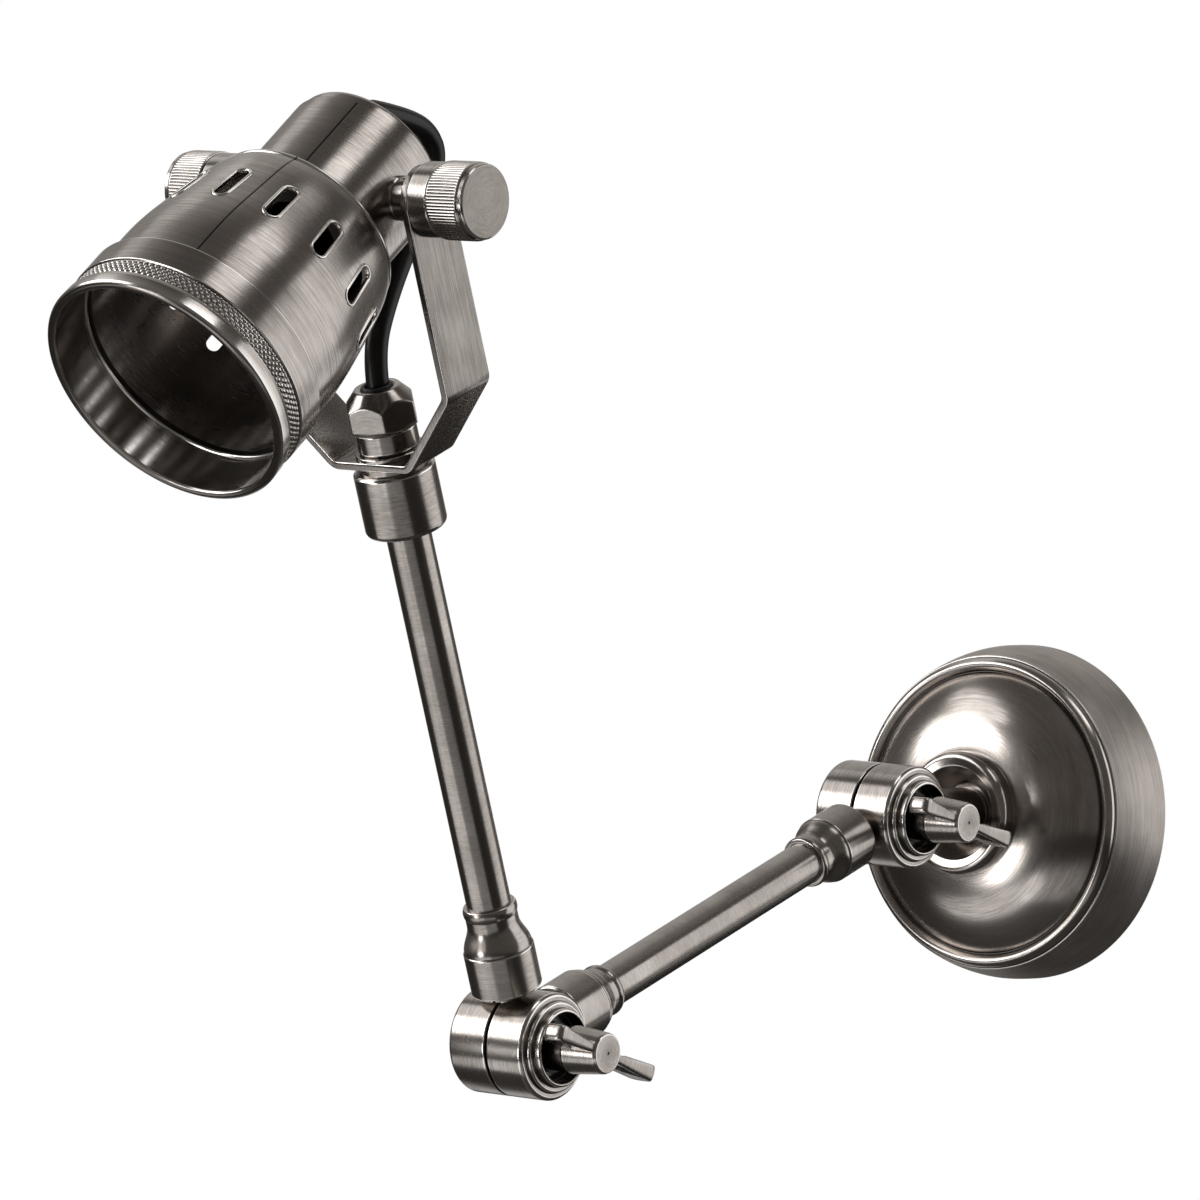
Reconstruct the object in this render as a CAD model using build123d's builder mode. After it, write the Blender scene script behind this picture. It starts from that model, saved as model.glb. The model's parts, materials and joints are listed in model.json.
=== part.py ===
"""Articulating wall lamp: a round canopy, two arms with wing-nut knuckles, and a yoke-held shade.

Millimetres. The wall is the plane Y = 0 and the lamp stands out of it toward -Y, with +Z up.
The origin is the centre of the canopy's back face, and every hinge of the lamp runs along X,
apart from the wall swivel (along Y) and the yoke swivel (along the upper arm).
"""
import math
import os

from build123d import *

os.makedirs("parts", exist_ok=True)

# ------------------------------------------------------------------ clearances
FIT = 0.05          # radial, a shaft or thread in its hole
GAP = 0.3           # between pieces that move past each other
SEAT = 0.02         # between flat faces that rest on each other

# ------------------------------------------------------------------ pose of the arms
arm_drop = 20.8     # degrees, lower arm below the horizontal
arm_lean = 23.2     # degrees, upper arm away from the vertical
head_dip = 17.0     # degrees, shade below the square to the upper arm
lower_span = 221.4  # wall hinge to elbow hinge
upper_span = 221.6  # elbow hinge to the yoke's plate
wall_reach = 93.6   # wall to wall hinge

# ------------------------------------------------------------------ canopy and hub
canopy_r = 63.5
canopy_wall = 1.5
rim_h = 4.0         # height of the widest circle
side_h = 26.2       # where the side ends at the bead
side_r = 59.4
bead_r = side_r - 3.1
bead_h = 29.7
groove_r = side_r - 6.0
groove_h = 27.5
dome_r = side_r - 7.1
dome_h = 28.6
seat_r = 23.9       # flat seat of the hub
seat_h = 41.8
dome_bulge = 2.6    # how far the dome stands out of a straight cone
hub_r = 23.4
hub_rise = 7.0
hub_crest_r = 20.6
dish_r = 17.8
dish_base_r = 11.2
dish_sink = 2.6     # dish floor below the seat
dish_wall = 2.4
hub_boss_r = 17.4   # part of the hub inside the canopy's hole
nipple_r = 6.35
nipple_bore = 4.5
nipple_grip = 10.0  # length held in the stem
bar_l = 108.0
bar_w = 20.0
bar_t = 2.5
slot_spacing = 88.9
slot_w = 5.0
slot_l = 15.0
locknut_flats = 18.0
locknut_t = 4.0
ground_x = 24.0
ground_head_r = 3.4
ground_r = 1.9

# ------------------------------------------------------------------ knuckles
barrel_r = 19.1
near_half = 16.2    # length of the half with the wing nut
far_half = 17.0     # length of the other half
washer_t = 0.6      # friction washer between the halves
washer_inset = 1.3
edge_break = 0.9
far_round = 1.8
step_r = 16.2
step_h = 1.7
ring_r = 13.9
ring_h = 4.4
recess_r = 12.6
recess_depth = 5.6
bolt_r = 4.0
bolt_head_r = 7.6
bolt_head_t = 5.6
bolt_pocket_r = 9.4
bolt_pocket = 4.6
neck_r = 5.8
neck_gap = 2.2      # barrel to collar, where the neck shows
neck_grip = 8.5     # length of neck inside its collar
neck_bore = 2.6

# ------------------------------------------------------------------ wing nuts
nut_washer_t = 1.6
nut_flange_r = 8.2
nut_flange = 9.0
nut_base_r = 8.6
nut_end_r = 7.0
nut_end = 40.2      # end face, from the seam between the halves
wing_reach = 28.6
wing_t = 4.6
wing_root = 24.0    # from the seam, like the two heights below
wing_top = 39.0
wing_tip_top = 40.8
wing_tip = 8.4
wing_corner = 1.4   # cut off both corners of a tip
nut_skin = 4.5      # solid end of the nut, past its bore
bolt_gap = 0.5      # bolt to the bottom of that bore
elbow_wing_turn = 17.0   # degrees below the horizontal
wall_wing_turn = 14.0    # degrees below the horizontal

# ------------------------------------------------------------------ arms
tube_r = 7.94
tube_wall = 1.2
collar_r = 12.65
collar_l = 15.6     # plain cylinder
upper_neck_l = 17.1 # collar's cylinder to its end, on the upper arm
lower_neck_l = 12.8
waist_r = 9.3
lip_r = 9.75
tube_grip = 17.0
coupling_r = 14.4
coupling_l = 23.4
coupling_gap = 2.2  # coupling to yoke plate
coupling_lap = 14.0 # length of tube inside the coupling
coupling_round = 2.2
thread_r = 6.5      # hollow thread through the yoke
thread_bore = 4.6

# ------------------------------------------------------------------ yoke and gland
yoke_w = 23.6
yoke_t = 2.8
yoke_flat = 16.5    # half of the flat bottom
yoke_half = 41.5    # middle to the outside of an arm
yoke_rise = 28.1    # bottom to the upper bends
yoke_bend = 5.0
pivot_h = 96.6      # plate to head hinge
pivot_r = 3.25
gland_washer_r = 12.2
gland_washer_t = 1.5
gland_r = 10.8
gland_l = 7.6
hex_flats = 22.8
hex_turn = 11.0     # degrees, corner of the nut from the lamp's side
hex_l = 9.0
cone_l = 5.9
cone_top_r = 8.0
grommet_r = 5.5
grommet_l = 13.0
cable_r = 4.0

# ------------------------------------------------------------------ head, measured from its hinge
opening = 107.7     # hinge to the rim of the shade
rim_r = 42.9
lip_outer_r = 46.3
ring_l = 24.9
ring_outer_r = 46.1
knurl_r = 45.5
knurl_from = 7.1    # from the rim
knurl_to = 12.9
shade_r = 44.0
shade_wall = 1.2
ring_lap = 8.4      # ring over shade
shade_straight = 20.0
shade_mid_r = 39.7
shade_mid = 38.7
shoulder_r = 35.6
shoulder = 22.5
neck_ring_r = 31.3
neck_ring = 19.8
neck_collar = 5.0   # inner collar that holds the cup
slot_count = 13
vent_turn = -2.0    # degrees, first slot from the lamp's side
vent_at = 45.2
vent_l = 16.6
vent_w = 5.1
retainer_w = 2.0
retainer_t = 0.9
cup_r = 29.2
cup_wall = 1.5
cup_back = 16.8     # behind the hinge
cup_front = 27.0
cap_l = 5.4
cap_r = 28.3
cap_t = 3.4
cap_round = 2.4
cap_register = 3.0
cable_up = 14.0     # cable inlet above the head's axis
bushing_r = 6.6
bushing_l = 3.2
holder_r = 19.5
holder_back = 8.0
holder_l = 30.0
holder_base = 10.0
shell_bore = 13.3
shell_wall = 0.6
shell_l = 18.0
contact_r = 4.0
contact_t = 1.2
stud_r = 4.9
boss_r = 7.0
boss_foot_r = 7.7
boss_foot = 1.6
screw_r = 3.0
knob_plain_r = 12.9
knob_plain = 8.9
knob_r = 13.6
knob_l = 13.0
knob_end = 3.0
knob_end_r = 12.2

# ------------------------------------------------------------------ frames
ACROSS = Vector(1, 0, 0)


def slanted(angle):
    """Unit vector in the lamp's middle plane, angle degrees above straight out of the wall."""
    a = math.radians(angle)
    return Vector(0, -math.cos(a), math.sin(a))


def along(origin, forward):
    """Plane whose Z runs forward and whose X is the lamp's sideways axis."""
    return Plane(origin=origin, x_dir=ACROSS, z_dir=forward)


def half_plane(frame):
    """Plane that holds a frame's axis: X is the radius and Y the height along the axis."""
    return Plane(origin=frame.origin, x_dir=frame.x_dir, z_dir=-frame.y_dir)


def axis_of(frame):
    return Axis(frame.origin, frame.z_dir)


wall_hinge = Vector(0, -wall_reach, 0)
lower_dir = slanted(-arm_drop)
elbow = wall_hinge + lower_dir * lower_span
upper_dir = slanted(90 - arm_lean)
plate = elbow + upper_dir * upper_span
pivot = plate + upper_dir * pivot_h
head_dir = slanted(-arm_lean - head_dip)

wall_frame = along((0, 0, 0), (0, -1, 0))
stem_frame = along(wall_hinge, (0, 1, 0))
lower_frame = along(wall_hinge, lower_dir)
lower_back_frame = along(elbow, -lower_dir)
upper_frame = along(elbow, upper_dir)
yoke_frame = along(plate, upper_dir)
head_frame = along(pivot, head_dir)


def across(origin, sign=1):
    """Plane whose Z runs along the hinge, toward +X for sign 1 and -X for sign -1."""
    return Plane(origin=origin, x_dir=(0, 0, 1), z_dir=ACROSS * sign)


# ------------------------------------------------------------------ shared shapes
def turned(frame, outline):
    """Solid turned about the frame's axis from a closed outline of (radius, height)."""
    with BuildPart() as piece:
        with BuildSketch(half_plane(frame)):
            with BuildLine():
                Polyline(*outline, close=True)
            make_face()
        revolve(axis=axis_of(frame))
    return piece


def tube(frame, outer, inner, low, high):
    """Plain ring or tube between two heights."""
    return turned(frame, [(inner, low), (outer, low), (outer, high), (inner, high)])


def save(piece, label):
    """Label a finished piece and write its STEP file."""
    piece.part.label = label
    export_step(piece.part, f"parts/{label}.step")


# ------------------------------------------------------------------ canopy
cone_mid_r = (dome_r + seat_r) / 2
cone_mid_h = (dome_h + seat_h) / 2
with BuildPart() as canopy_shell:
    with BuildSketch(half_plane(wall_frame)):
        with BuildLine():
            Line((canopy_r - canopy_wall, 0), (canopy_r, 0))
            Line((canopy_r, 0), (canopy_r, rim_h))
            ThreePointArc((canopy_r, rim_h), (canopy_r - 0.9, 0.58 * side_h), (side_r, side_h))
            Line((side_r, side_h), (side_r - 0.7, side_h + 0.2))
            ThreePointArc(
                (side_r - 0.7, side_h + 0.2), (side_r - 1.3, bead_h - 0.7), (bead_r, bead_h)
            )
            ThreePointArc(
                (bead_r, bead_h), (groove_r + 0.9, groove_h + 1.5), (groove_r, groove_h)
            )
            Line((groove_r, groove_h), (dome_r, dome_h))
            ThreePointArc(
                (dome_r, dome_h),
                (cone_mid_r + 0.4 * dome_bulge, cone_mid_h + dome_bulge),
                (seat_r, seat_h),
            )
            Line((seat_r, seat_h), (hub_boss_r + GAP, seat_h))
            Line((hub_boss_r + GAP, seat_h), (hub_boss_r + GAP, seat_h - canopy_wall))
            Line((hub_boss_r + GAP, seat_h - canopy_wall), (seat_r - 0.4, seat_h - canopy_wall))
            ThreePointArc(
                (seat_r - 0.4, seat_h - canopy_wall),
                (cone_mid_r - 0.2, cone_mid_h + dome_bulge - canopy_wall - 0.2),
                (dome_r - 0.8, dome_h - 1.9),
            )
            Line((dome_r - 0.8, dome_h - 1.9), (groove_r + 0.2, groove_h - canopy_wall))
            Line((groove_r + 0.2, groove_h - canopy_wall), (bead_r, bead_h - canopy_wall - 0.9))
            Line((bead_r, bead_h - canopy_wall - 0.9), (side_r - canopy_wall, side_h - 0.4))
            ThreePointArc(
                (side_r - canopy_wall, side_h - 0.4),
                (canopy_r - 0.9 - canopy_wall, 0.58 * side_h),
                (canopy_r - canopy_wall, rim_h),
            )
            Line((canopy_r - canopy_wall, rim_h), (canopy_r - canopy_wall, 0))
        make_face()
    revolve(axis=axis_of(wall_frame))
save(canopy_shell, "canopy_shell")

with BuildPart() as crossbar:
    with BuildSketch(wall_frame):
        RectangleRounded(bar_l, bar_w, 3)
        Circle(nipple_r + FIT, mode=Mode.SUBTRACT)
        with GridLocations(slot_spacing, 0, 2, 1):
            SlotOverall(slot_l, slot_w, mode=Mode.SUBTRACT)
        with Locations((ground_x, 0)):
            Circle(ground_r + FIT, mode=Mode.SUBTRACT)
    extrude(amount=bar_t)
save(crossbar, "crossbar")

with BuildPart() as ground_screw:
    with BuildSketch(wall_frame):
        with Locations((ground_x, 0)):
            Circle(ground_r)
    extrude(amount=bar_t)
    with BuildSketch(wall_frame.offset(bar_t + SEAT)):
        with Locations((ground_x, 0)):
            Circle(ground_head_r)
            Rectangle(2 * ground_head_r, 0.9, mode=Mode.SUBTRACT)
    extrude(amount=1.2)
    with BuildSketch(wall_frame.offset(bar_t)):
        with Locations((ground_x, 0)):
            Circle(ground_head_r)
            Circle(ground_r - 0.5, mode=Mode.SUBTRACT)
    extrude(amount=1.0)
save(ground_screw, "ground_screw")

hub_base = seat_h + SEAT
dish_h = seat_h - dish_sink
boss_h = dish_h - dish_wall
save(tube(wall_frame, nipple_r, nipple_bore, 0, dish_h + nipple_grip), "wall_nipple")

with BuildPart() as canopy_locknut:
    with BuildSketch(wall_frame.offset(boss_h - SEAT)):
        RegularPolygon(locknut_flats / 2, 6, major_radius=False)
        Circle(nipple_r + FIT, mode=Mode.SUBTRACT)
    extrude(amount=-locknut_t)
save(canopy_locknut, "canopy_locknut")

with BuildPart() as hub_flange:
    crest_h = hub_base + hub_rise
    with BuildSketch(half_plane(wall_frame)):
        with BuildLine():
            Line((nipple_r + FIT, boss_h), (dish_base_r + 2, boss_h))
            Line((dish_base_r + 2, boss_h), (hub_boss_r, boss_h + 3))
            Line((hub_boss_r, boss_h + 3), (hub_boss_r, hub_base))
            Line((hub_boss_r, hub_base), (hub_r, hub_base))
            Line((hub_r, hub_base), (hub_r, hub_base + 3.4))
            ThreePointArc(
                (hub_r, hub_base + 3.4), (hub_r - 0.8, crest_h - 1.0), (hub_crest_r, crest_h)
            )
            Line((hub_crest_r, crest_h), (dish_r, crest_h - 0.5))
            Line((dish_r, crest_h - 0.5), (dish_base_r, dish_h))
            Line((dish_base_r, dish_h), (nipple_r + FIT, dish_h))
            Line((nipple_r + FIT, dish_h), (nipple_r + FIT, boss_h))
        make_face()
    revolve(axis=axis_of(wall_frame))
save(hub_flange, "hub_flange")


# ------------------------------------------------------------------ knuckles
def knuckle_half(joint, side, neck_frame):
    """One half of a swivel knuckle, with the neck of its arm on the seam's plane.

    side is 1 for the half that carries the wing nut, and -1 for the other half.
    """
    frame = across(joint, side)
    seam = washer_t / 2
    with BuildPart() as half:
        with BuildSketch(neck_frame.offset(neck_r)):
            Circle(neck_r)
        extrude(amount=barrel_r + neck_gap + neck_grip - neck_r)
        with BuildSketch(half_plane(frame)):
            with BuildLine():
                Polyline(
                    (0, -barrel_r),
                    (barrel_r + GAP, -barrel_r),
                    (barrel_r + GAP, seam),
                    (0, seam),
                    close=True,
                )
            make_face()
        revolve(axis=axis_of(frame), mode=Mode.SUBTRACT)
        with BuildSketch(half_plane(frame)):
            with BuildLine():
                if side > 0:
                    Polyline(
                        (0, seam),
                        (barrel_r, seam),
                        (barrel_r, near_half - edge_break),
                        (barrel_r - edge_break, near_half),
                        (step_r, near_half),
                        (step_r, near_half + step_h - 0.5),
                        (step_r - 0.5, near_half + step_h),
                        (ring_r, near_half + step_h),
                        (ring_r, near_half + ring_h - 0.5),
                        (ring_r - 0.5, near_half + ring_h),
                        (0, near_half + ring_h),
                        close=True,
                    )
                else:
                    Line((0, seam), (barrel_r, seam))
                    Line((barrel_r, seam), (barrel_r, far_half - far_round))
                    RadiusArc(
                        (barrel_r, far_half - far_round), (barrel_r - far_round, far_half), -far_round
                    )
                    Line((barrel_r - far_round, far_half), (0, far_half))
                    Line((0, far_half), (0, seam))
            make_face()
        revolve(axis=axis_of(frame))
        length = near_half + ring_h if side > 0 else far_half
        pocket_r = recess_r if side > 0 else bolt_pocket_r
        pocket = recess_depth if side > 0 else bolt_pocket
        with BuildSketch(frame.offset(length)):
            Circle(pocket_r)
        extrude(amount=-pocket, mode=Mode.SUBTRACT)
        with BuildSketch(frame):
            Circle(bolt_r + FIT)
        extrude(amount=length, mode=Mode.SUBTRACT)
        with BuildSketch(neck_frame.offset(barrel_r - 4)):
            Circle(neck_bore)
        extrude(amount=neck_gap + neck_grip + 4, mode=Mode.SUBTRACT)
    return half


def pivot_bolt(joint):
    """Bolt from the pocket in the far half to just inside the wing nut."""
    frame = across(joint)
    head = -(far_half - bolt_pocket) - SEAT
    return turned(
        frame,
        [
            (0, head - bolt_head_t),
            (bolt_head_r - 1.2, head - bolt_head_t),
            (bolt_head_r, head - bolt_head_t + 1.2),
            (bolt_head_r, head),
            (bolt_r, head),
            (bolt_r, nut_end - nut_skin - bolt_gap),
            (0, nut_end - nut_skin - bolt_gap),
        ],
    )


def wing_nut(joint, turn):
    """Capped nut with two flat wings, turned by an angle below the horizontal."""
    frame = across(joint)
    low = near_half + ring_h - recess_depth + nut_washer_t + SEAT + 0.2
    a = math.radians(turn)
    out = Vector(0, math.cos(a), -math.sin(a))
    wing_plane = Plane(origin=joint, x_dir=out, z_dir=out.cross(ACROSS))
    with BuildPart() as nut:
        with BuildSketch(half_plane(frame)):
            with BuildLine():
                Polyline(
                    (0, low),
                    (nut_flange_r, low),
                    (nut_flange_r, low + nut_flange - 0.5),
                    (nut_base_r, low + nut_flange),
                    (nut_end_r + 0.35, nut_end - 0.7),
                    (nut_end_r - 0.2, nut_end),
                    (0, nut_end),
                    close=True,
                )
            make_face()
        revolve(axis=axis_of(frame))
        for side in (1, -1):
            with BuildSketch(wing_plane):
                with BuildLine():
                    Polyline(
                        (side * nut_end_r * 0.5, wing_root),
                        (side * nut_end_r * 0.5, wing_top),
                        (side * (wing_reach - wing_corner), wing_tip_top),
                        (side * wing_reach, wing_tip_top - wing_corner),
                        (side * wing_reach, wing_tip_top - wing_tip + wing_corner),
                        (side * (wing_reach - wing_corner), wing_tip_top - wing_tip),
                        close=True,
                    )
                make_face()
            extrude(amount=wing_t / 2, both=True)
        with BuildSketch(frame.offset(low)):
            Circle(bolt_r + FIT)
        extrude(amount=nut_end - nut_skin - low, mode=Mode.SUBTRACT)
        with BuildSketch(frame.offset(nut_end)):
            Circle(0.5)
        extrude(amount=-0.4, mode=Mode.SUBTRACT)
    return nut


def collar(frame, neck_l):
    """Turned reducer between a knuckle's neck and an arm tube."""
    low = barrel_r + neck_gap
    edge = low + collar_l
    waist = edge + 0.56 * neck_l
    lip = edge + 0.76 * neck_l
    top = edge + neck_l
    grip = low + neck_grip + 0.6
    tube_low = top - tube_grip
    with BuildPart() as piece:
        with BuildSketch(half_plane(frame)):
            with BuildLine():
                Line((neck_r + FIT, low), (collar_r - 0.8, low))
                RadiusArc((collar_r - 0.8, low), (collar_r, low + 0.8), -0.8)
                Line((collar_r, low + 0.8), (collar_r, edge))
                Line((collar_r, edge), (collar_r - 0.35, edge + 0.5))
                Spline(
                    (collar_r - 0.35, edge + 0.5),
                    (0.5 * (collar_r + waist_r) - 0.15, edge + 0.26 * neck_l),
                    (waist_r, waist),
                    tangents=[(-0.35, 1), (0, 1)],
                )
                Line((waist_r, waist), (waist_r, lip))
                ThreePointArc((waist_r, lip), (lip_r, 0.5 * (lip + top)), (waist_r, top))
                Line((waist_r, top), (tube_r + FIT, top))
                Line((tube_r + FIT, top), (tube_r + FIT, tube_low))
                Line((tube_r + FIT, tube_low), (neck_r - 1, tube_low))
                Line((neck_r - 1, tube_low), (neck_r - 1, grip))
                Line((neck_r - 1, grip), (neck_r + FIT, grip))
                Line((neck_r + FIT, grip), (neck_r + FIT, low))
            make_face()
        revolve(axis=axis_of(frame))
    return piece


def tube_end(neck_l):
    """Where the tube starts inside its collar."""
    return barrel_r + neck_gap + collar_l + neck_l - tube_grip + SEAT


def knuckle(place, joint, near_neck, far_neck, turn):
    """All loose pieces of one swivel knuckle, named for the place where it sits."""
    frame = across(joint)
    floor = near_half + ring_h - recess_depth
    save(knuckle_half(joint, 1, near_neck), f"{place}_knuckle_near")
    save(knuckle_half(joint, -1, far_neck), f"{place}_knuckle_far")
    disc = tube(frame, barrel_r - washer_inset, bolt_r + FIT, -washer_t / 2 + SEAT, washer_t / 2 - SEAT)
    save(disc, f"{place}_friction_washer")
    save(pivot_bolt(joint), f"{place}_pivot_bolt")
    nut_washer = tube(frame, nut_flange_r + 0.8, bolt_r + FIT, floor + SEAT, floor + nut_washer_t)
    save(nut_washer, f"{place}_nut_washer")
    save(wing_nut(joint, turn), f"{place}_wing_nut")


knuckle("wall", wall_hinge, stem_frame, lower_frame, wall_wing_turn)
knuckle("elbow", elbow, lower_back_frame, upper_frame, elbow_wing_turn)

# ------------------------------------------------------------------ wall stem
stem_low = dish_h + GAP
stem_high = wall_reach - barrel_r - neck_gap
stem_r = 9.6
save(
    turned(
        wall_frame,
        [
            (nipple_r + FIT, stem_low),
            (stem_r - 0.6, stem_low),
            (stem_r, stem_low + 0.6),
            (stem_r, stem_high - 6.5),
            (stem_r + 1.0, stem_high - 5.7),
            (stem_r + 1.0, stem_high - 0.8),
            (stem_r + 0.2, stem_high),
            (neck_r + FIT, stem_high),
            (neck_r + FIT, stem_high - neck_grip - 0.6),
            (nipple_bore, stem_high - neck_grip - 0.6),
            (nipple_bore, dish_h + nipple_grip + 0.4),
            (nipple_r + FIT, dish_h + nipple_grip + 0.4),
        ],
    ),
    "wall_stem",
)

# ------------------------------------------------------------------ arms
save(collar(lower_frame, lower_neck_l), "lower_collar_wall")
save(collar(lower_back_frame, lower_neck_l), "lower_collar_elbow")
save(collar(upper_frame, upper_neck_l), "upper_collar")
lower_end = tube_end(lower_neck_l)
save(tube(lower_frame, tube_r, tube_r - tube_wall, lower_end, lower_span - lower_end), "lower_tube")

coupling_top = upper_span - coupling_gap
coupling_low = coupling_top - coupling_l
upper_tube_top = coupling_low + coupling_lap
upper_end = tube_end(upper_neck_l)
save(tube(upper_frame, tube_r, tube_r - tube_wall, upper_end, upper_tube_top), "upper_tube")

with BuildPart() as top_coupling:
    with BuildSketch(half_plane(upper_frame)):
        with BuildLine():
            Line((tube_r + FIT, coupling_low), (coupling_r - coupling_round, coupling_low))
            RadiusArc(
                (coupling_r - coupling_round, coupling_low),
                (coupling_r, coupling_low + coupling_round),
                -coupling_round,
            )
            Line((coupling_r, coupling_low + coupling_round), (coupling_r, coupling_top - 0.9))
            Line((coupling_r, coupling_top - 0.9), (coupling_r - 0.9, coupling_top))
            Line((coupling_r - 0.9, coupling_top), (thread_r + FIT, coupling_top))
            Line((thread_r + FIT, coupling_top), (thread_r + FIT, upper_tube_top + SEAT))
            Line((thread_r + FIT, upper_tube_top + SEAT), (tube_r + FIT, upper_tube_top + SEAT))
            Line((tube_r + FIT, upper_tube_top + SEAT), (tube_r + FIT, coupling_low))
        make_face()
    revolve(axis=axis_of(upper_frame))
save(top_coupling, "top_coupling")

plate_top = upper_span + yoke_t
washer_top = plate_top + SEAT + gland_washer_t
body_top = washer_top + SEAT + gland_l
thread_top = body_top - 1.5
save(
    tube(upper_frame, thread_r, thread_bore, upper_tube_top + 2 * SEAT, thread_top),
    "hollow_thread",
)
swivel_washer = tube(
    upper_frame, coupling_r - 2.2, thread_r + FIT, coupling_top + SEAT, upper_span - SEAT
)
save(swivel_washer, "swivel_washer")

# ------------------------------------------------------------------ yoke
yoke_front = Plane(origin=yoke_frame.origin, x_dir=ACROSS, z_dir=-yoke_frame.y_dir)
yoke_side = Plane(origin=yoke_frame.origin, x_dir=yoke_frame.y_dir, z_dir=ACROSS)
mid = yoke_half - yoke_t / 2
with BuildPart() as yoke_strap:
    with BuildSketch(yoke_front):
        with BuildLine():
            FilletPolyline(
                (-mid, pivot_h + yoke_w),
                (-mid, yoke_rise),
                (-yoke_flat, yoke_t / 2),
                (yoke_flat, yoke_t / 2),
                (mid, yoke_rise),
                (mid, pivot_h + yoke_w),
                radius=yoke_bend,
            )
        trace(line_width=yoke_t)
    extrude(amount=yoke_w / 2, both=True)
    with BuildSketch(yoke_side):
        with Locations((0, pivot_h / 2 - yoke_w / 4)):
            Rectangle(yoke_w, pivot_h + yoke_w / 2)
        with Locations((0, pivot_h)):
            Circle(yoke_w / 2)
    extrude(amount=yoke_half + yoke_t, both=True, mode=Mode.INTERSECT)
    with BuildSketch(yoke_side):
        with Locations((0, pivot_h)):
            Circle(pivot_r)
    extrude(amount=yoke_half + yoke_t, both=True, mode=Mode.SUBTRACT)
    with BuildSketch(yoke_frame):
        Circle(thread_r + FIT)
    extrude(amount=2 * yoke_t, mode=Mode.SUBTRACT)
save(yoke_strap, "yoke_strap")

# ------------------------------------------------------------------ cable gland
save(
    tube(upper_frame, gland_washer_r, thread_r + FIT, plate_top + SEAT, washer_top),
    "gland_washer",
)
save(
    turned(
        upper_frame,
        [
            (thread_r + FIT, washer_top + SEAT),
            (gland_r - 0.8, washer_top + SEAT),
            (gland_r, washer_top + SEAT + 0.8),
            (gland_r, body_top),
            (thread_bore, body_top),
            (thread_bore, thread_top + 0.3),
            (thread_r + FIT, thread_top + 0.3),
        ],
    ),
    "gland_body",
)

hex_low = body_top + SEAT
hex_top = hex_low + hex_l
nut_top = hex_top + cone_l
hex_corner_r = hex_flats / math.sqrt(3)
with BuildPart() as gland_nut:
    with BuildSketch(upper_frame.offset(hex_low)):
        RegularPolygon(hex_flats / 2, 6, major_radius=False, rotation=hex_turn)
    extrude(amount=hex_l + cone_l)
    with BuildSketch(half_plane(upper_frame)):
        with BuildLine():
            Polyline(
                (grommet_r + FIT, hex_low),
                (gland_r, hex_low),
                (hex_corner_r, hex_low + 1.4),
                (hex_corner_r, hex_top),
                (cone_top_r, nut_top),
                (grommet_r + FIT, nut_top),
                close=True,
            )
        make_face()
    revolve(axis=axis_of(upper_frame), mode=Mode.INTERSECT)
save(gland_nut, "gland_nut")

grommet_top = nut_top + 0.8
save(
    tube(upper_frame, grommet_r, cable_r + FIT, grommet_top - grommet_l, grommet_top),
    "gland_grommet",
)

# ------------------------------------------------------------------ head shell
rim = opening
ring_back = rim - ring_l
shade_front = ring_back + ring_lap
with BuildPart() as shade_body:
    with BuildSketch(half_plane(head_frame)):
        with BuildLine():
            Line((shade_r - shade_wall, shade_front), (shade_r, shade_front))
            Line((shade_r, shade_front), (shade_r, shade_front - shade_straight))
            Spline(
                (shade_r, shade_front - shade_straight),
                (shade_mid_r, shade_mid),
                (shoulder_r, shoulder),
                tangents=[(0, -1), (-0.5, -1)],
            )
            ThreePointArc(
                (shoulder_r, shoulder),
                (shoulder_r - 1.5, neck_ring + 1.1),
                (neck_ring_r, neck_ring),
            )
            Line((neck_ring_r, neck_ring), (neck_ring_r - 0.4, neck_ring - 0.3))
            Line((neck_ring_r - 0.4, neck_ring - 0.3), (cup_r + FIT, neck_ring - 0.3))
            Line((cup_r + FIT, neck_ring - 0.3), (cup_r + FIT, neck_ring + neck_collar))
            Line(
                (cup_r + FIT, neck_ring + neck_collar),
                (cup_r + FIT + shade_wall, neck_ring + neck_collar),
            )
            Line(
                (cup_r + FIT + shade_wall, neck_ring + neck_collar),
                (cup_r + FIT + shade_wall, neck_ring + shade_wall),
            )
            Line(
                (cup_r + FIT + shade_wall, neck_ring + shade_wall),
                (shoulder_r - shade_wall, shoulder + 0.8),
            )
            Spline(
                (shoulder_r - shade_wall, shoulder + 0.8),
                (shade_mid_r - shade_wall, shade_mid),
                (shade_r - shade_wall, shade_front - shade_straight),
                tangents=[(0.5, 1), (0, 1)],
            )
            Line(
                (shade_r - shade_wall, shade_front - shade_straight),
                (shade_r - shade_wall, shade_front),
            )
        make_face()
    revolve(axis=axis_of(head_frame))
    vent_planes = [
        Plane(
            origin=head_frame.origin + head_frame.z_dir * vent_at,
            x_dir=head_frame.z_dir,
            z_dir=ACROSS.rotate(axis_of(head_frame), vent_turn + 360 / slot_count * i),
        )
        for i in range(slot_count)
    ]
    with BuildSketch(*vent_planes):
        SlotOverall(vent_l, vent_w)
    extrude(amount=shade_r + 5, mode=Mode.SUBTRACT)
save(shade_body, "shade_body")

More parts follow.
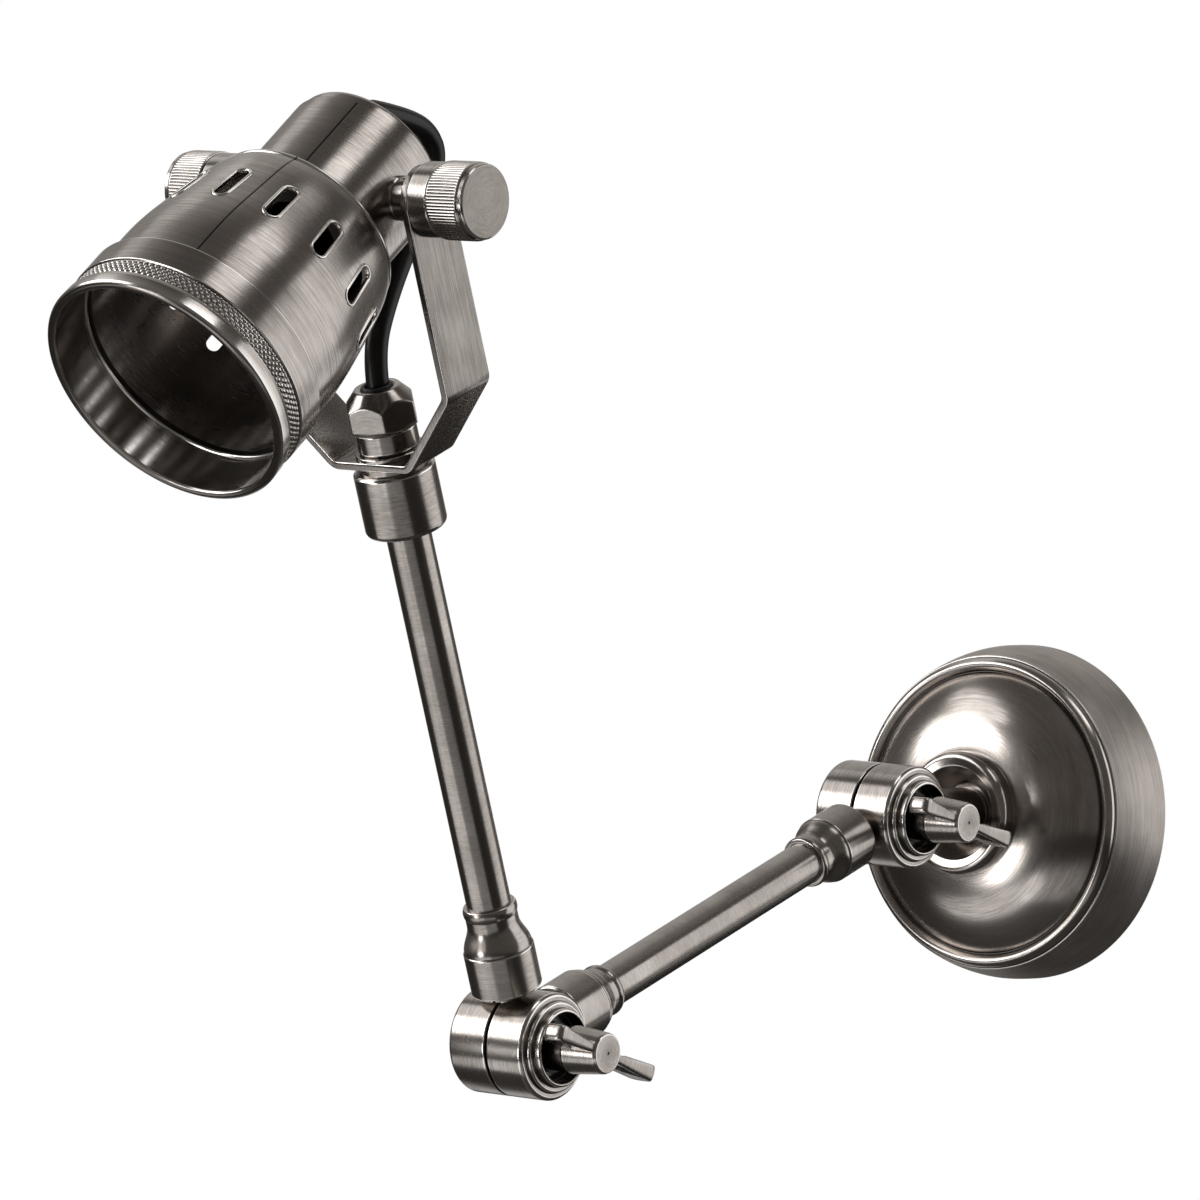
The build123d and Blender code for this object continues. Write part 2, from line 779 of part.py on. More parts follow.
with BuildPart() as front_ring:
    lap_r = shade_r + GAP
    with BuildSketch(half_plane(head_frame)):
        with BuildLine():
            Line((lap_r, ring_back), (ring_outer_r - 0.5, ring_back))
            Line((ring_outer_r - 0.5, ring_back), (ring_outer_r, ring_back + 0.5))
            Line((ring_outer_r, ring_back + 0.5), (ring_outer_r, rim - knurl_to - 0.3))
            Line((ring_outer_r, rim - knurl_to - 0.3), (knurl_r, rim - knurl_to))
            Line((knurl_r, rim - knurl_to), (knurl_r, rim - knurl_from))
            Line((knurl_r, rim - knurl_from), (lip_outer_r, rim - knurl_from + 0.6))
            Line((lip_outer_r, rim - knurl_from + 0.6), (lip_outer_r, rim - 2.6))
            ThreePointArc(
                (lip_outer_r, rim - 2.6), (lip_outer_r - 0.75, rim - 0.7), (lip_outer_r - 2, rim)
            )
            Line((lip_outer_r - 2, rim), (rim_r + 0.4, rim - 0.35))
            Line((rim_r + 0.4, rim - 0.35), (rim_r, rim - 0.9))
            Line((rim_r, rim - 0.9), (rim_r, shade_front + GAP))
            Line((rim_r, shade_front + GAP), (lap_r, shade_front + GAP))
            Line((lap_r, shade_front + GAP), (lap_r, ring_back))
        make_face()
    revolve(axis=axis_of(head_frame))
save(front_ring, "front_ring")

retainer_r = shade_r - shade_wall - FIT
save(
    tube(
        head_frame,
        retainer_r,
        retainer_r - retainer_t,
        shade_front - 2.4 - retainer_w,
        shade_front - 2.4,
    ),
    "retaining_ring",
)

with BuildPart() as socket_cup:
    with BuildSketch(head_frame.offset(-cup_back)):
        Circle(cup_r)
        Circle(cup_r - cup_wall, mode=Mode.SUBTRACT)
    extrude(amount=cup_back + cup_front)
save(socket_cup, "socket_cup")

cap_end = -cup_back - cap_l
register_r = cup_r - cup_wall - FIT
with BuildPart() as rear_cap:
    with BuildSketch(half_plane(head_frame)):
        with BuildLine():
            Line((0, cap_end), (cap_r - cap_round, cap_end))
            RadiusArc((cap_r - cap_round, cap_end), (cap_r, cap_end + cap_round), -cap_round)
            Line((cap_r, cap_end + cap_round), (cap_r, -cup_back - SEAT))
            Line((cap_r, -cup_back - SEAT), (register_r, -cup_back - SEAT))
            Line((register_r, -cup_back - SEAT), (register_r, -cup_back + cap_register))
            Line((register_r, -cup_back + cap_register), (register_r - 1.5, -cup_back + cap_register))
            Line((register_r - 1.5, -cup_back + cap_register), (register_r - 1.5, cap_end + cap_t))
            Line((register_r - 1.5, cap_end + cap_t), (0, cap_end + cap_t))
            Line((0, cap_end + cap_t), (0, cap_end))
        make_face()
    revolve(axis=axis_of(head_frame))
    with BuildSketch(head_frame.offset(cap_end)):
        with Locations((0, cable_up)):
            Circle(bushing_r - 1.2 + FIT)
    extrude(amount=cap_t + 1, mode=Mode.SUBTRACT)
    with BuildSketch(head_frame.offset(cap_end + 1.2)):
        Circle(stud_r + FIT)
    extrude(amount=cap_t, mode=Mode.SUBTRACT)
save(rear_cap, "rear_cap")

inlet_frame = Plane(
    origin=head_frame.origin + head_frame.y_dir * cable_up, x_dir=ACROSS, z_dir=head_dir
)
save(
    turned(
        inlet_frame,
        [
            (cable_r + FIT, cap_end + cap_t),
            (bushing_r - 1.2, cap_end + cap_t),
            (bushing_r - 1.2, cap_end - SEAT),
            (bushing_r, cap_end - SEAT),
            (bushing_r, cap_end - 1.4),
            (cable_r + 1.2, cap_end - bushing_l),
            (cable_r + FIT, cap_end - bushing_l),
        ],
    ),
    "cable_bushing",
)

# ------------------------------------------------------------------ lampholder
holder_low = -holder_back
holder_floor = holder_low + holder_base
holder_high = holder_low + holder_l
with BuildPart() as lampholder:
    with BuildSketch(half_plane(head_frame)):
        with BuildLine():
            Polyline(
                (0, holder_low),
                (holder_r - 2, holder_low),
                (holder_r, holder_low + 2),
                (holder_r, holder_high - 1),
                (holder_r - 1, holder_high),
                (shell_bore + shell_wall + 0.2, holder_high),
                (shell_bore + shell_wall + 0.2, holder_floor),
                (0, holder_floor),
                close=True,
            )
        make_face()
    revolve(axis=axis_of(head_frame))
    with BuildSketch(head_frame.offset(holder_low)):
        Circle(stud_r + FIT)
    extrude(amount=6, mode=Mode.SUBTRACT)
save(lampholder, "lampholder")

shell_low = holder_floor + SEAT
save(
    turned(
        head_frame,
        [
            (shell_bore - 5, shell_low),
            (shell_bore + shell_wall, shell_low),
            (shell_bore + shell_wall, shell_low + shell_l),
            (shell_bore, shell_low + shell_l),
            (shell_bore, shell_low + shell_wall),
            (shell_bore - 5, shell_low + shell_wall),
        ],
    ),
    "screw_shell",
)
with BuildPart() as contact_tab:
    with BuildSketch(head_frame.offset(holder_floor + SEAT)):
        Circle(contact_r)
    extrude(amount=contact_t)
save(contact_tab, "contact_tab")

with BuildPart() as lampholder_stud:
    with BuildSketch(head_frame.offset(cap_end + 1.2 + SEAT)):
        Circle(stud_r)
    extrude(amount=holder_low + 6 - SEAT - (cap_end + 1.2 + SEAT))
save(lampholder_stud, "lampholder_stud")


# ------------------------------------------------------------------ head hinge
def trunnion_boss(side):
    """Turned boss between the cup and one arm of the yoke, with a threaded hole."""
    frame = across(pivot, side)
    face = yoke_half - yoke_t - GAP
    with BuildPart() as boss:
        with BuildSketch(half_plane(frame)):
            with BuildLine():
                Polyline(
                    (screw_r + FIT, cup_r - 3),
                    (boss_foot_r, cup_r - 3),
                    (boss_foot_r, cup_r + boss_foot - 0.4),
                    (boss_foot_r - 0.4, cup_r + boss_foot),
                    (boss_r, cup_r + boss_foot),
                    (boss_r, face - 0.5),
                    (boss_r - 0.5, face),
                    (screw_r + FIT, face),
                    close=True,
                )
            make_face()
        revolve(axis=axis_of(frame))
        with BuildSketch(head_frame.offset(-2 * boss_foot_r)):
            Circle(cup_r + FIT)
        extrude(amount=4 * boss_foot_r, mode=Mode.SUBTRACT)
    return boss


def thumb_screw(side):
    """Knob with a plain collar, a knurled grip and the stud that enters the boss."""
    frame = across(pivot, side)
    face = yoke_half + GAP
    grip = face + knob_plain
    end = grip + knob_l
    return turned(
        frame,
        [
            (0, cup_r + 0.8),
            (screw_r, cup_r + 0.8),
            (screw_r, face),
            (knob_plain_r - 0.8, face),
            (knob_plain_r, face + 0.8),
            (knob_plain_r, grip - 0.4),
            (knob_plain_r - 0.5, grip),
            (knob_r, grip + 0.4),
            (knob_r, end - 0.3),
            (knob_end_r + 0.4, end + 0.9),
            (knob_end_r, end + knob_end - 0.5),
            (knob_end_r - 0.8, end + knob_end),
            (0, end + knob_end),
        ],
    )


for side_name, side_sign in (("left", -1), ("right", 1)):
    save(trunnion_boss(side_sign), f"{side_name}_boss")
    save(thumb_screw(side_sign), f"{side_name}_thumb_screw")

# ------------------------------------------------------------------ supply cable
# The route lies in the lamp's middle plane, as (out from the wall side, up) steps from the
# head hinge in the yoke's own axes: out of the gland, back behind the cup and into its cap.
inlet = head_frame.z_dir * cap_end + head_frame.y_dir * cable_up
yoke_out = -yoke_frame.y_dir
gland_exit = nut_top - upper_span - pivot_h
route_steps = [
    (0, gland_exit - 12),
    (0, gland_exit + 8.6),
    (-15.0, -41.8),
    (-44.8, -18.0),
    (-54.6, -5.5),
    (-52.6, 3.2),
    (-46.3, 9.6),
    (-31.5, 18.3),
]
route = [pivot + yoke_out * out + yoke_frame.z_dir * up for out, up in route_steps]
route.append(pivot + inlet - head_frame.z_dir * 7.2)
route.append(pivot + inlet + head_frame.z_dir * 8.0)


def corner_radii(points):
    """Radius of each corner's arc: 0.45 of its shorter run over the tangent of half the turn."""
    radii = []
    for before, here, after in zip(points, points[1:], points[2:]):
        run_in = here - before
        run_out = after - here
        turn = math.radians(run_in.get_angle(run_out))
        radii.append(0.45 * min(run_in.length, run_out.length) / math.tan(turn / 2))
    return radii


route_radii = corner_radii(route)
print("cable corner radii", [round(r, 1) for r in route_radii])
with BuildPart() as supply_cable:
    with BuildLine() as cable_path:
        FilletPolyline(*route, radius=route_radii)
    with BuildSketch(Plane(origin=route[0], z_dir=route[1] - route[0])):
        Circle(cable_r)
    sweep()
cable_length = cable_path.wires()[0].length
print("cable length", round(cable_length, 1))
print("volume over section times length", supply_cable.part.volume / (math.pi * cable_r**2 * cable_length))
save(supply_cable, "supply_cable")
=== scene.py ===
"""Looks of the wall lamp: turned brushed metal, knurled grips, cable and studio."""

import json
import math

import bmesh
import bpy
import numpy as np
from mathutils import Matrix, Vector


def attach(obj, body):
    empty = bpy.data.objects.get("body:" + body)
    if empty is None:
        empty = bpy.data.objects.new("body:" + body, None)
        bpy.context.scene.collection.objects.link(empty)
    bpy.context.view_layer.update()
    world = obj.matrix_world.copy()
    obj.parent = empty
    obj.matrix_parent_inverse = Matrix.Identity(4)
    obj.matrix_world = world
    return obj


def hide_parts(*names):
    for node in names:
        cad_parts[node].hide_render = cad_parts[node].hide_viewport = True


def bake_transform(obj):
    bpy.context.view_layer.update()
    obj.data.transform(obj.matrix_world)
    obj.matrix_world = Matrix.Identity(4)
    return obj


bl_info = {
    "name": "Articulating wall lamp",
    "version": (1, 0, 0),
    "blender": (4, 5, 0),
    "location": "3D View > Sidebar > Wall lamp",
    "description": "Dresses a wall lamp's solids in brushed nickel and lights it in a studio",
    "category": "Object",
}

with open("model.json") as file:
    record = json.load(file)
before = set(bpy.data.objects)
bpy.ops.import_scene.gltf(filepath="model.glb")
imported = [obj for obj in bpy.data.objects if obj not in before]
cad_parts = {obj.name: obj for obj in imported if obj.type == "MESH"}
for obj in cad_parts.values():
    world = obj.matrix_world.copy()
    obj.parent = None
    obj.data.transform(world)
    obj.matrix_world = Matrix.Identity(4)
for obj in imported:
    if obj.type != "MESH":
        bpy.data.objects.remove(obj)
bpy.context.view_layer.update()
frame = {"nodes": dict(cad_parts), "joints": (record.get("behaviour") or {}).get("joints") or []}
MM = 0.001
ACROSS = np.array([1.0, 0.0, 0.0])
OUT_OF_WALL = np.array([0.0, -1.0, 0.0])
WHITE = (1, 1, 1)
VIEW_AZIMUTH, VIEW_ELEVATION, VIEW_ROLL = (math.radians(a) for a in (38.44, 1.81, 3.25))


def unit(v):
    """Vector, or each row of an array, over its length."""
    v = np.asarray(v, float)
    return v / np.linalg.norm(v, axis=-1, keepdims=True)


# ------------------------------------------------------------------ places, in millimetres
joints = {joint["name"]: joint for joint in frame["joints"]}
wall_hinge, elbow, plate, pivot = (
    np.array(joints[name]["pos_m"]) / MM
    for name in ("wall_tilt", "elbow_tilt", "yoke_swivel", "head_tilt")
)
wall_origin = np.zeros(3)
lower_dir = unit(elbow - wall_hinge)
upper_dir = unit(joints["yoke_swivel"]["axis"])
head_dir = unit(joints["ring_turn"]["axis"])
upper_span = float(np.linalg.norm(plate - elbow))
pivot_h = float(np.linalg.norm(pivot - plate))

BARREL_R = 19.1  # radius of a knuckle's barrel
BOLT_BORE = 4.05  # radius of the hole for its bolt
TUBE_BORE = 5.85  # radius of the hole that an arm's neck goes into
GLAND_BORE = 6.55  # radius of the hole through the coupling and the gland
COUPLING_GAP = 2.2  # coupling to the yoke
YOKE_T = 2.8  # thickness of the yoke


# ------------------------------------------------------------------ settings
class LampSizes(bpy.types.PropertyGroup):
    """Sizes of the dressed pieces, in millimetres."""

    rounding: bpy.props.FloatProperty(
        name="Edge rounding", description="Radius of the small edges of turned pieces", default=0.35
    )
    knurl_pitch: bpy.props.FloatProperty(
        name="Diamond pitch", description="Width of one diamond of the front ring", default=2.4
    )
    knurl_depth: bpy.props.FloatProperty(
        name="Diamond depth", description="Depth of the knurl of the front ring", default=0.8
    )
    ridge_pitch: bpy.props.FloatProperty(
        name="Ridge pitch", description="Width of one ridge of a thumb screw", default=1.15
    )
    ridge_depth: bpy.props.FloatProperty(
        name="Ridge depth", description="Depth of the ridges of a thumb screw", default=0.42
    )
    cable: bpy.props.FloatProperty(
        name="Cable", description="Diameter of the supply cable", default=8.0
    )


class LampColours(bpy.types.PropertyGroup):
    """Colours and finishes of the lamp."""

    nickel: bpy.props.FloatVectorProperty(
        name="Nickel", description="Brushed metal in the light", subtype="COLOR",
        default=(0.50, 0.462, 0.432),
    )
    patina: bpy.props.FloatVectorProperty(
        name="Patina", description="Darker metal between the brush strokes", subtype="COLOR",
        default=(0.26, 0.233, 0.212),
    )
    # Bright edge colour: rubbed-through patina, and a painted highlight on edges, crests, beads and
    # rims.
    worn_and_highlight: bpy.props.FloatVectorProperty(
        name="Worn edges", description="Bright metal where patina is gone", subtype="COLOR",
        default=(0.88, 0.85, 0.82),
    )
    # Near-black for painted shade in hollow corners, recesses and end faces, and for the dark seam
    # line.
    shade_and_seam_dark: bpy.props.FloatVectorProperty(
        name="Grime", description="Dark film in hollow corners and joint lines", subtype="COLOR",
        default=(0.025, 0.021, 0.018),
    )
    sheath: bpy.props.FloatVectorProperty(
        name="Cable sheath", description="Colour of the cable", subtype="COLOR",
        default=(0.009, 0.008, 0.0075),
    )
    rubber: bpy.props.FloatVectorProperty(
        name="Rubber", description="Colour of grommet and bushing", subtype="COLOR",
        default=(0.016, 0.015, 0.015),
    )
    # Lampholder and brass are darkened as painted shade, so the inside seen through the vents stays
    # dark.
    shaded_porcelain: bpy.props.FloatVectorProperty(
        name="Lampholder", description="Colour of the glazed lampholder", subtype="COLOR",
        default=(0.022, 0.019, 0.017),
    )
    brass: bpy.props.FloatVectorProperty(
        name="Brass", description="Colour of contact and screw shell", subtype="COLOR",
        default=(0.10, 0.075, 0.045),
    )
    floor: bpy.props.FloatVectorProperty(
        name="Floor", description="Colour of the studio's floor", subtype="COLOR",
        default=(0.86, 0.86, 0.86),
    )


# ------------------------------------------------------------------ surfaces
finishes = {}  # materials made here, by name
PAINTED_CORNER_SHADE = -0.6  # value for painted shade in a hollow corner
PAINTED_RECESS_SHADE = -0.9  # value for painted shade along a joint line or in a recess
PAINTED_FACE_SHADE = -0.42  # value for painted shade on an end face
SHARP = 0.25  # 1 - cos of the turn at which a corner gets its full worn edge, painted highlight or painted shade
SMOOTH = 0.985  # cos of the largest turn that isn't a corner


def side_vectors(axis):
    """Two unit vectors square to the axis: the lamp's sideways one if it can be, and a cross."""
    first = ACROSS if abs(float(np.dot(axis, ACROSS))) < 0.9 else np.array([0.0, 0.0, 1.0])
    first = unit(first - np.dot(first, axis) * axis)
    return first, np.cross(axis, first)


def softened(outline, radius, steps=4, closed=True):
    """Outline with each corner replaced by a quadratic curve, and the wear and painted light along
    it.

    A corner C with neighbours A and B is cut at d = min(radius, 0.45 of the shorter run) along
    both runs; points of the curve are (1-t)^2 P + 2t(1-t) C + t^2 Q for t in [0, 1]. The value is
    up to 1, a worn edge and painted highlight, on corners that stand out, and down to a painted
    shade value in hollow ones, by the sign of the turn against the sign of the outline's area; it
    grows with the turn's sharpness.
    """
    points = np.asarray(outline, float)
    moved = np.linalg.norm(np.diff(points, axis=0), axis=1) > 1e-6
    points = points[np.concatenate([[True], moved])]
    count = len(points)
    following = np.roll(points, -1, axis=0)
    area = np.sum(points[:, 0] * following[:, 1] - points[:, 1] * following[:, 0])
    parts, edges = [], []
    for i, here in enumerate(points):
        back, onward = points[i - 1] - here, following[i] - here
        run_in, run_out = np.linalg.norm(back), np.linalg.norm(onward)
        turn = -np.dot(back / run_in, onward / run_out)
        end = not closed and i in (0, count - 1)
        if end or turn > SMOOTH or here[0] == 0:
            parts.append(here[None])
            edges.append([0.0])
            continue
        cut = min(radius, 0.45 * min(run_in, run_out))
        p = here + back / run_in * cut
        q = here + onward / run_out * cut
        t = np.linspace(0, 1, steps + 1)[:, None]
        curve = (1 - t) ** 2 * p + 2 * t * (1 - t) * here + t**2 * q
        lead = here + back / run_in * min(1.6 * cut, 0.48 * run_in)
        tail = here + onward / run_out * min(1.6 * cut, 0.48 * run_out)
        stands_out = (back[1] * onward[0] - back[0] * onward[1]) * area > 0
        wear_and_painted_light = (1.0 if stands_out else PAINTED_CORNER_SHADE) * min(1.0, (1 - turn) / SHARP)
        parts.append(np.vstack([lead[None], curve, tail[None]]))
        edges.append([0.0] + [wear_and_painted_light] * (steps + 1) + [0.0])
    return np.vstack(parts), np.concatenate(edges)


def arc(centre, radius, start, end, steps=10):
    """Points of a circle's arc in the outline's plane, centre + radius (cos a, sin a), degrees."""
    a = np.radians(np.linspace(start, end, steps))
    return [(centre[0] + radius * math.cos(x), centre[1] + radius * math.sin(x)) for x in a]


def bow(first, middle, last, steps=12):
    """Quadratic curve through three outline points, with the middle one reached at t = 0.5."""
    a, m, b = (np.asarray(p, float) for p in (first, middle, last))
    c = 2 * m - 0.5 * (a + b)
    t = np.linspace(0, 1, steps)[:, None]
    return [tuple(p) for p in (1 - t) ** 2 * a + 2 * t * (1 - t) * c + t**2 * b]


def turned(outline, origin, axis, steps=144, radius=None, closed=True, ripple=None):
    """Surface of revolution of an outline of (radius r, height h).

    A point is origin + h axis + r (cos u side + sin u up) with u from 0 to one turn.
    ripple(u, h, r) returns what is added to r, for knurls, and the wear and painted light there,
    nan where the outline's own value stays.
    """
    if radius is None:
        radius = bpy.context.scene.lamp_sizes.rounding
    if radius:
        profile, edge = softened(outline, radius, closed=closed)
    else:
        profile = np.asarray(outline, float)
        edge = np.zeros(len(profile))
    side, up = side_vectors(axis)
    u = np.linspace(0, 2 * math.pi, steps, endpoint=False)
    uu = np.repeat(u[None], len(profile), axis=0)
    r, h, wear_and_painted_light = (
        np.repeat(column[:, None], steps, axis=1) for column in (profile[:, 0], profile[:, 1], edge)
    )
    if ripple is not None:
        added, marks = ripple(uu, h, r)
        r = r + added
        wear_and_painted_light = np.where(np.isnan(marks), wear_and_painted_light, marks)
    around = np.cos(uu)[..., None] * side + np.sin(uu)[..., None] * up
    verts = np.asarray(origin) + h[..., None] * axis + r[..., None] * around
    return grid_faces(verts, closed, wear_and_painted_light)


def grid_faces(verts, closed, edge=None):
    """Vertices, quads and wear and painted light of a grid closed along its second way, and its
    first if told.
    """
    rows, cols = verts.shape[:2]
    if edge is None:
        edge = np.zeros((rows, cols))
    i = np.arange(rows if closed else rows - 1)
    ii, jj = np.meshgrid(i, np.arange(cols), indexing="ij")
    row, next_row = ii * cols, (ii + 1) % rows * cols
    next_col = (jj + 1) % cols
    faces = np.stack([row + jj, row + next_col, next_row + next_col, next_row + jj], -1)
    return verts.reshape(-1, 3), faces.reshape(-1, 4), edge.reshape(-1)


def carried(section, path, frames, closed=False, edge=None):
    """Section (x, y) carried along a path: a point is path[i] + x first[i] + y second[i]."""
    section = np.asarray(section, float)
    first, second = (
        section[None, :, k : k + 1] * way[:, None] for k, way in enumerate(frames)
    )
    return grid_faces(path[:, None] + first + second, closed, edge)


def circle(radius, steps):
    """Points (x, y) of a circle, as a section."""
    v = np.linspace(0, 2 * math.pi, steps, endpoint=False)
    return radius * np.stack([np.cos(v), np.sin(v)], -1)


def joined(*shells):
    """Several (vertices, faces, wear and painted light) shells as one."""
    starts = np.cumsum([0] + [len(shell[0]) for shell in shells])
    verts = np.vstack([shell[0] for shell in shells])
    faces = np.vstack([shell[1] + start for shell, start in zip(shells, starts)])
    return verts, faces, np.concatenate([shell[2] for shell in shells])


def shown(name, mesh, body, replaces):
    """Smooth object of a mesh, which rides on a body and may stand for solids."""
    mesh.polygons.foreach_set("use_smooth", np.ones(len(mesh.polygons), bool))
    obj = bpy.data.objects.new(name, mesh)
    bpy.context.scene.collection.objects.link(obj)
    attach(obj, body)
    if replaces:
        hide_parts(*replaces)
    return obj


def piece(name, shell, body, material, replaces=(), cap_ends=False):
    """Puts a surface, in millimetres, into a mesh in metres that rides on a body of the lamp."""
    verts, faces, edge = shell
    mesh = bpy.data.meshes.new(name)
    mesh.from_pydata((verts * MM).tolist(), [], faces.tolist())
    # The wear attribute: worn edge and painted highlight above 0, painted shade below 0.
    mesh.attributes.new("wear_and_painted_light", "FLOAT", "POINT").data.foreach_set("value", edge)
    work = bmesh.new()
    work.from_mesh(mesh)
    bmesh.ops.remove_doubles(work, verts=work.verts, dist=2e-6)
    bmesh.ops.dissolve_degenerate(work, edges=work.edges, dist=1e-7)
    if cap_ends:
        bmesh.ops.holes_fill(work, edges=work.edges, sides=0)
    bmesh.ops.recalc_face_normals(work, faces=work.faces)
    work.to_mesh(mesh)
    work.free()
    mesh.materials.append(material)
    return shown(name, mesh, body, replaces)


def rounded_copy(node, body, material, edge_highlight_material, width):
    """Copy of a solid with its sharp edges rounded by a bevel, which stands for that solid."""
    mesh = frame["nodes"][node].data.copy()
    work = bmesh.new()
    work.from_mesh(mesh)
    bmesh.ops.remove_doubles(work, verts=work.verts, dist=2e-6)
    bmesh.ops.dissolve_limit(
        work, angle_limit=math.radians(0.5), verts=work.verts, edges=work.edges
    )
    work.to_mesh(mesh)
    work.free()
    mesh.materials.clear()
    mesh.materials.append(material)
    # The bevel's faces take this second material: a worn edge and painted highlight along the
    # rounded edges.
    mesh.materials.append(edge_highlight_material)
    obj = shown(node + "_rounded", mesh, body, [node])
    bevel = obj.modifiers.new("edges", "BEVEL")
    bevel.width = width * MM
    bevel.segments = 3
    bevel.limit_method = "ANGLE"
    bevel.angle_limit = math.radians(35)
    bevel.harden_normals = True
    bevel.material = 1


def dress(nodes, material):
    """Gives solids that keep their own shape a material."""
    for node in nodes:
        mesh = frame["nodes"][node].data
        mesh.materials.clear()
        mesh.materials.append(material)


# ------------------------------------------------------------------ shader nodes
def fill(tree, node, values):
    """Links or sets inputs, by name or number: a socket, number, vector, or colour less alpha."""
    for label, value in values.items():
        socket = node.inputs[label]
        if isinstance(value, bpy.types.NodeSocket):
            tree.links.new(value, socket)
        elif value is not None:
            socket.default_value = (*value, 1) if socket.type == "RGBA" else value


def add_node(tree, kind, values=None, **settings):
    """Outputs of a new shader node with its settings and inputs."""
    node = tree.nodes.new("ShaderNode" + kind)
    for setting, value in settings.items():
        setattr(node, setting, value)
    fill(tree, node, values or {})
    return node.outputs


def maths(tree, operation, a, b=None):
    """Output of a math node on sockets or numbers."""
    return add_node(tree, "Math", {0: a, 1: b}, operation=operation)[0]


def vector_maths(tree, operation, a, b=None):
    """Output of a vector math node: a number for a length or a dot product, else a vector."""
    outputs = add_node(tree, "VectorMath", {0: a, 1: b}, operation=operation)
    return outputs["Value"] if operation in ("LENGTH", "DOT_PRODUCT") else outputs[0]


def mixed(tree, factor, a, b):
    """Colour between a, at factor 0, and b, at 1."""
    values = {"Factor": factor, "A": a, "B": b}
    return add_node(tree, "Mix", values, data_type="RGBA")["Result"]


def noise(tree, place, scale, detail=4.0, rough=0.5):
    """Noise from 0 to 1."""
    values = {"Vector": place, "Scale": scale, "Detail": detail, "Roughness": rough}
    return add_node(tree, "TexNoise", values)["Fac"]


def ranged(tree, value, low, high, clamp_low=0.0, clamp_high=1.0):
    """Maps a value from between the two clamps to low..high."""
    values = {"From Min": clamp_low, "From Max": clamp_high, "To Min": low, "To Max": high}
    return add_node(tree, "MapRange", {**values, "Value": value})[0]


def bumped(tree, height, strength, depth):
    """Normal of a surface raised by a height, up to depth in metres."""
    values = {"Strength": strength, "Distance": depth, "Height": height}
    return add_node(tree, "Bump", values)["Normal"]


def new_material(name):
    """Material kept by its name, its node tree and its Principled surface."""
    material = finishes[name] = bpy.data.materials.new(name)
    material.use_nodes = True
    return material, material.node_tree, material.node_tree.nodes["Principled BSDF"]


def grain_group(straight):
    """Brush strokes around Z, or along it when straight, and broad clouds, as a shader group.

    Around Z the noise is read at (A x/r, A y/r, L (z + r)), so its cells are 1/L thick and r/A
    long; along Z it is read at (L x, L y, A z), so its cells are 1/L thick and 1/A long.
    """
    name, lines, around, rough = ("Turned grain", 2600.0, 2.6, 0.65)
    if straight:
        name, lines, around, rough = ("Straight grain", 2200.0, 60.0, 0.5)
    if name in bpy.data.node_groups:
        return bpy.data.node_groups[name]
    group = bpy.data.node_groups.new(name, "ShaderNodeTree")
    sockets = group.interface
    sockets.new_socket("Vector", in_out="INPUT", socket_type="NodeSocketVector")
    for label, value in (("Lines", lines), ("Around", around)):
        socket = sockets.new_socket(label, in_out="INPUT", socket_type="NodeSocketFloat")
        socket.default_value = value
    for label in ("Grain", "Cloud"):
        sockets.new_socket(label, in_out="OUTPUT", socket_type="NodeSocketFloat")
    place, lines, around = group.nodes.new("NodeGroupInput").outputs[:3]
    x, y, z = add_node(group, "SeparateXYZ", {0: place})
    if straight:
        parts = [maths(group, "MULTIPLY", *p) for p in ((x, lines), (y, lines), (z, around))]
    else:
        flat = add_node(group, "CombineXYZ", {0: x, 1: y})[0]
        radius = maths(group, "MAXIMUM", vector_maths(group, "LENGTH", flat), 0.0005)
        parts = [
            maths(group, "MULTIPLY", maths(group, "DIVIDE", part, radius), around)
            for part in (x, y)
        ]
        parts.append(maths(group, "MULTIPLY", maths(group, "ADD", z, radius), lines))
    strokes = add_node(group, "CombineXYZ", dict(enumerate(parts)))[0]
    end = group.nodes.new("NodeGroupOutput")
    fill(group, end, {"Grain": noise(group, strokes, 1.0, 3.0, rough),
                      "Cloud": noise(group, place, 55.0)})
    return group


def highlight_way(tree, place, origin, axis, straight):
    """Direction square to the strokes, along which brushed metal draws its highlights out.

    The strokes run along the axis when straight, and otherwise along axis x (point - origin);
    the direction is strokes x normal.
    """
    run = tuple(axis)
    if not straight:
        arm = vector_maths(tree, "SUBTRACT", place, tuple(np.asarray(origin) * MM))
        run = vector_maths(tree, "NORMALIZE", vector_maths(tree, "CROSS_PRODUCT", run, arm))
    way = add_node(
        tree, "VectorTransform", {0: run},
        vector_type="VECTOR", convert_from="OBJECT", convert_to="WORLD",
    )[0]
    return vector_maths(tree, "CROSS_PRODUCT", way, add_node(tree, "NewGeometry")["Normal"])


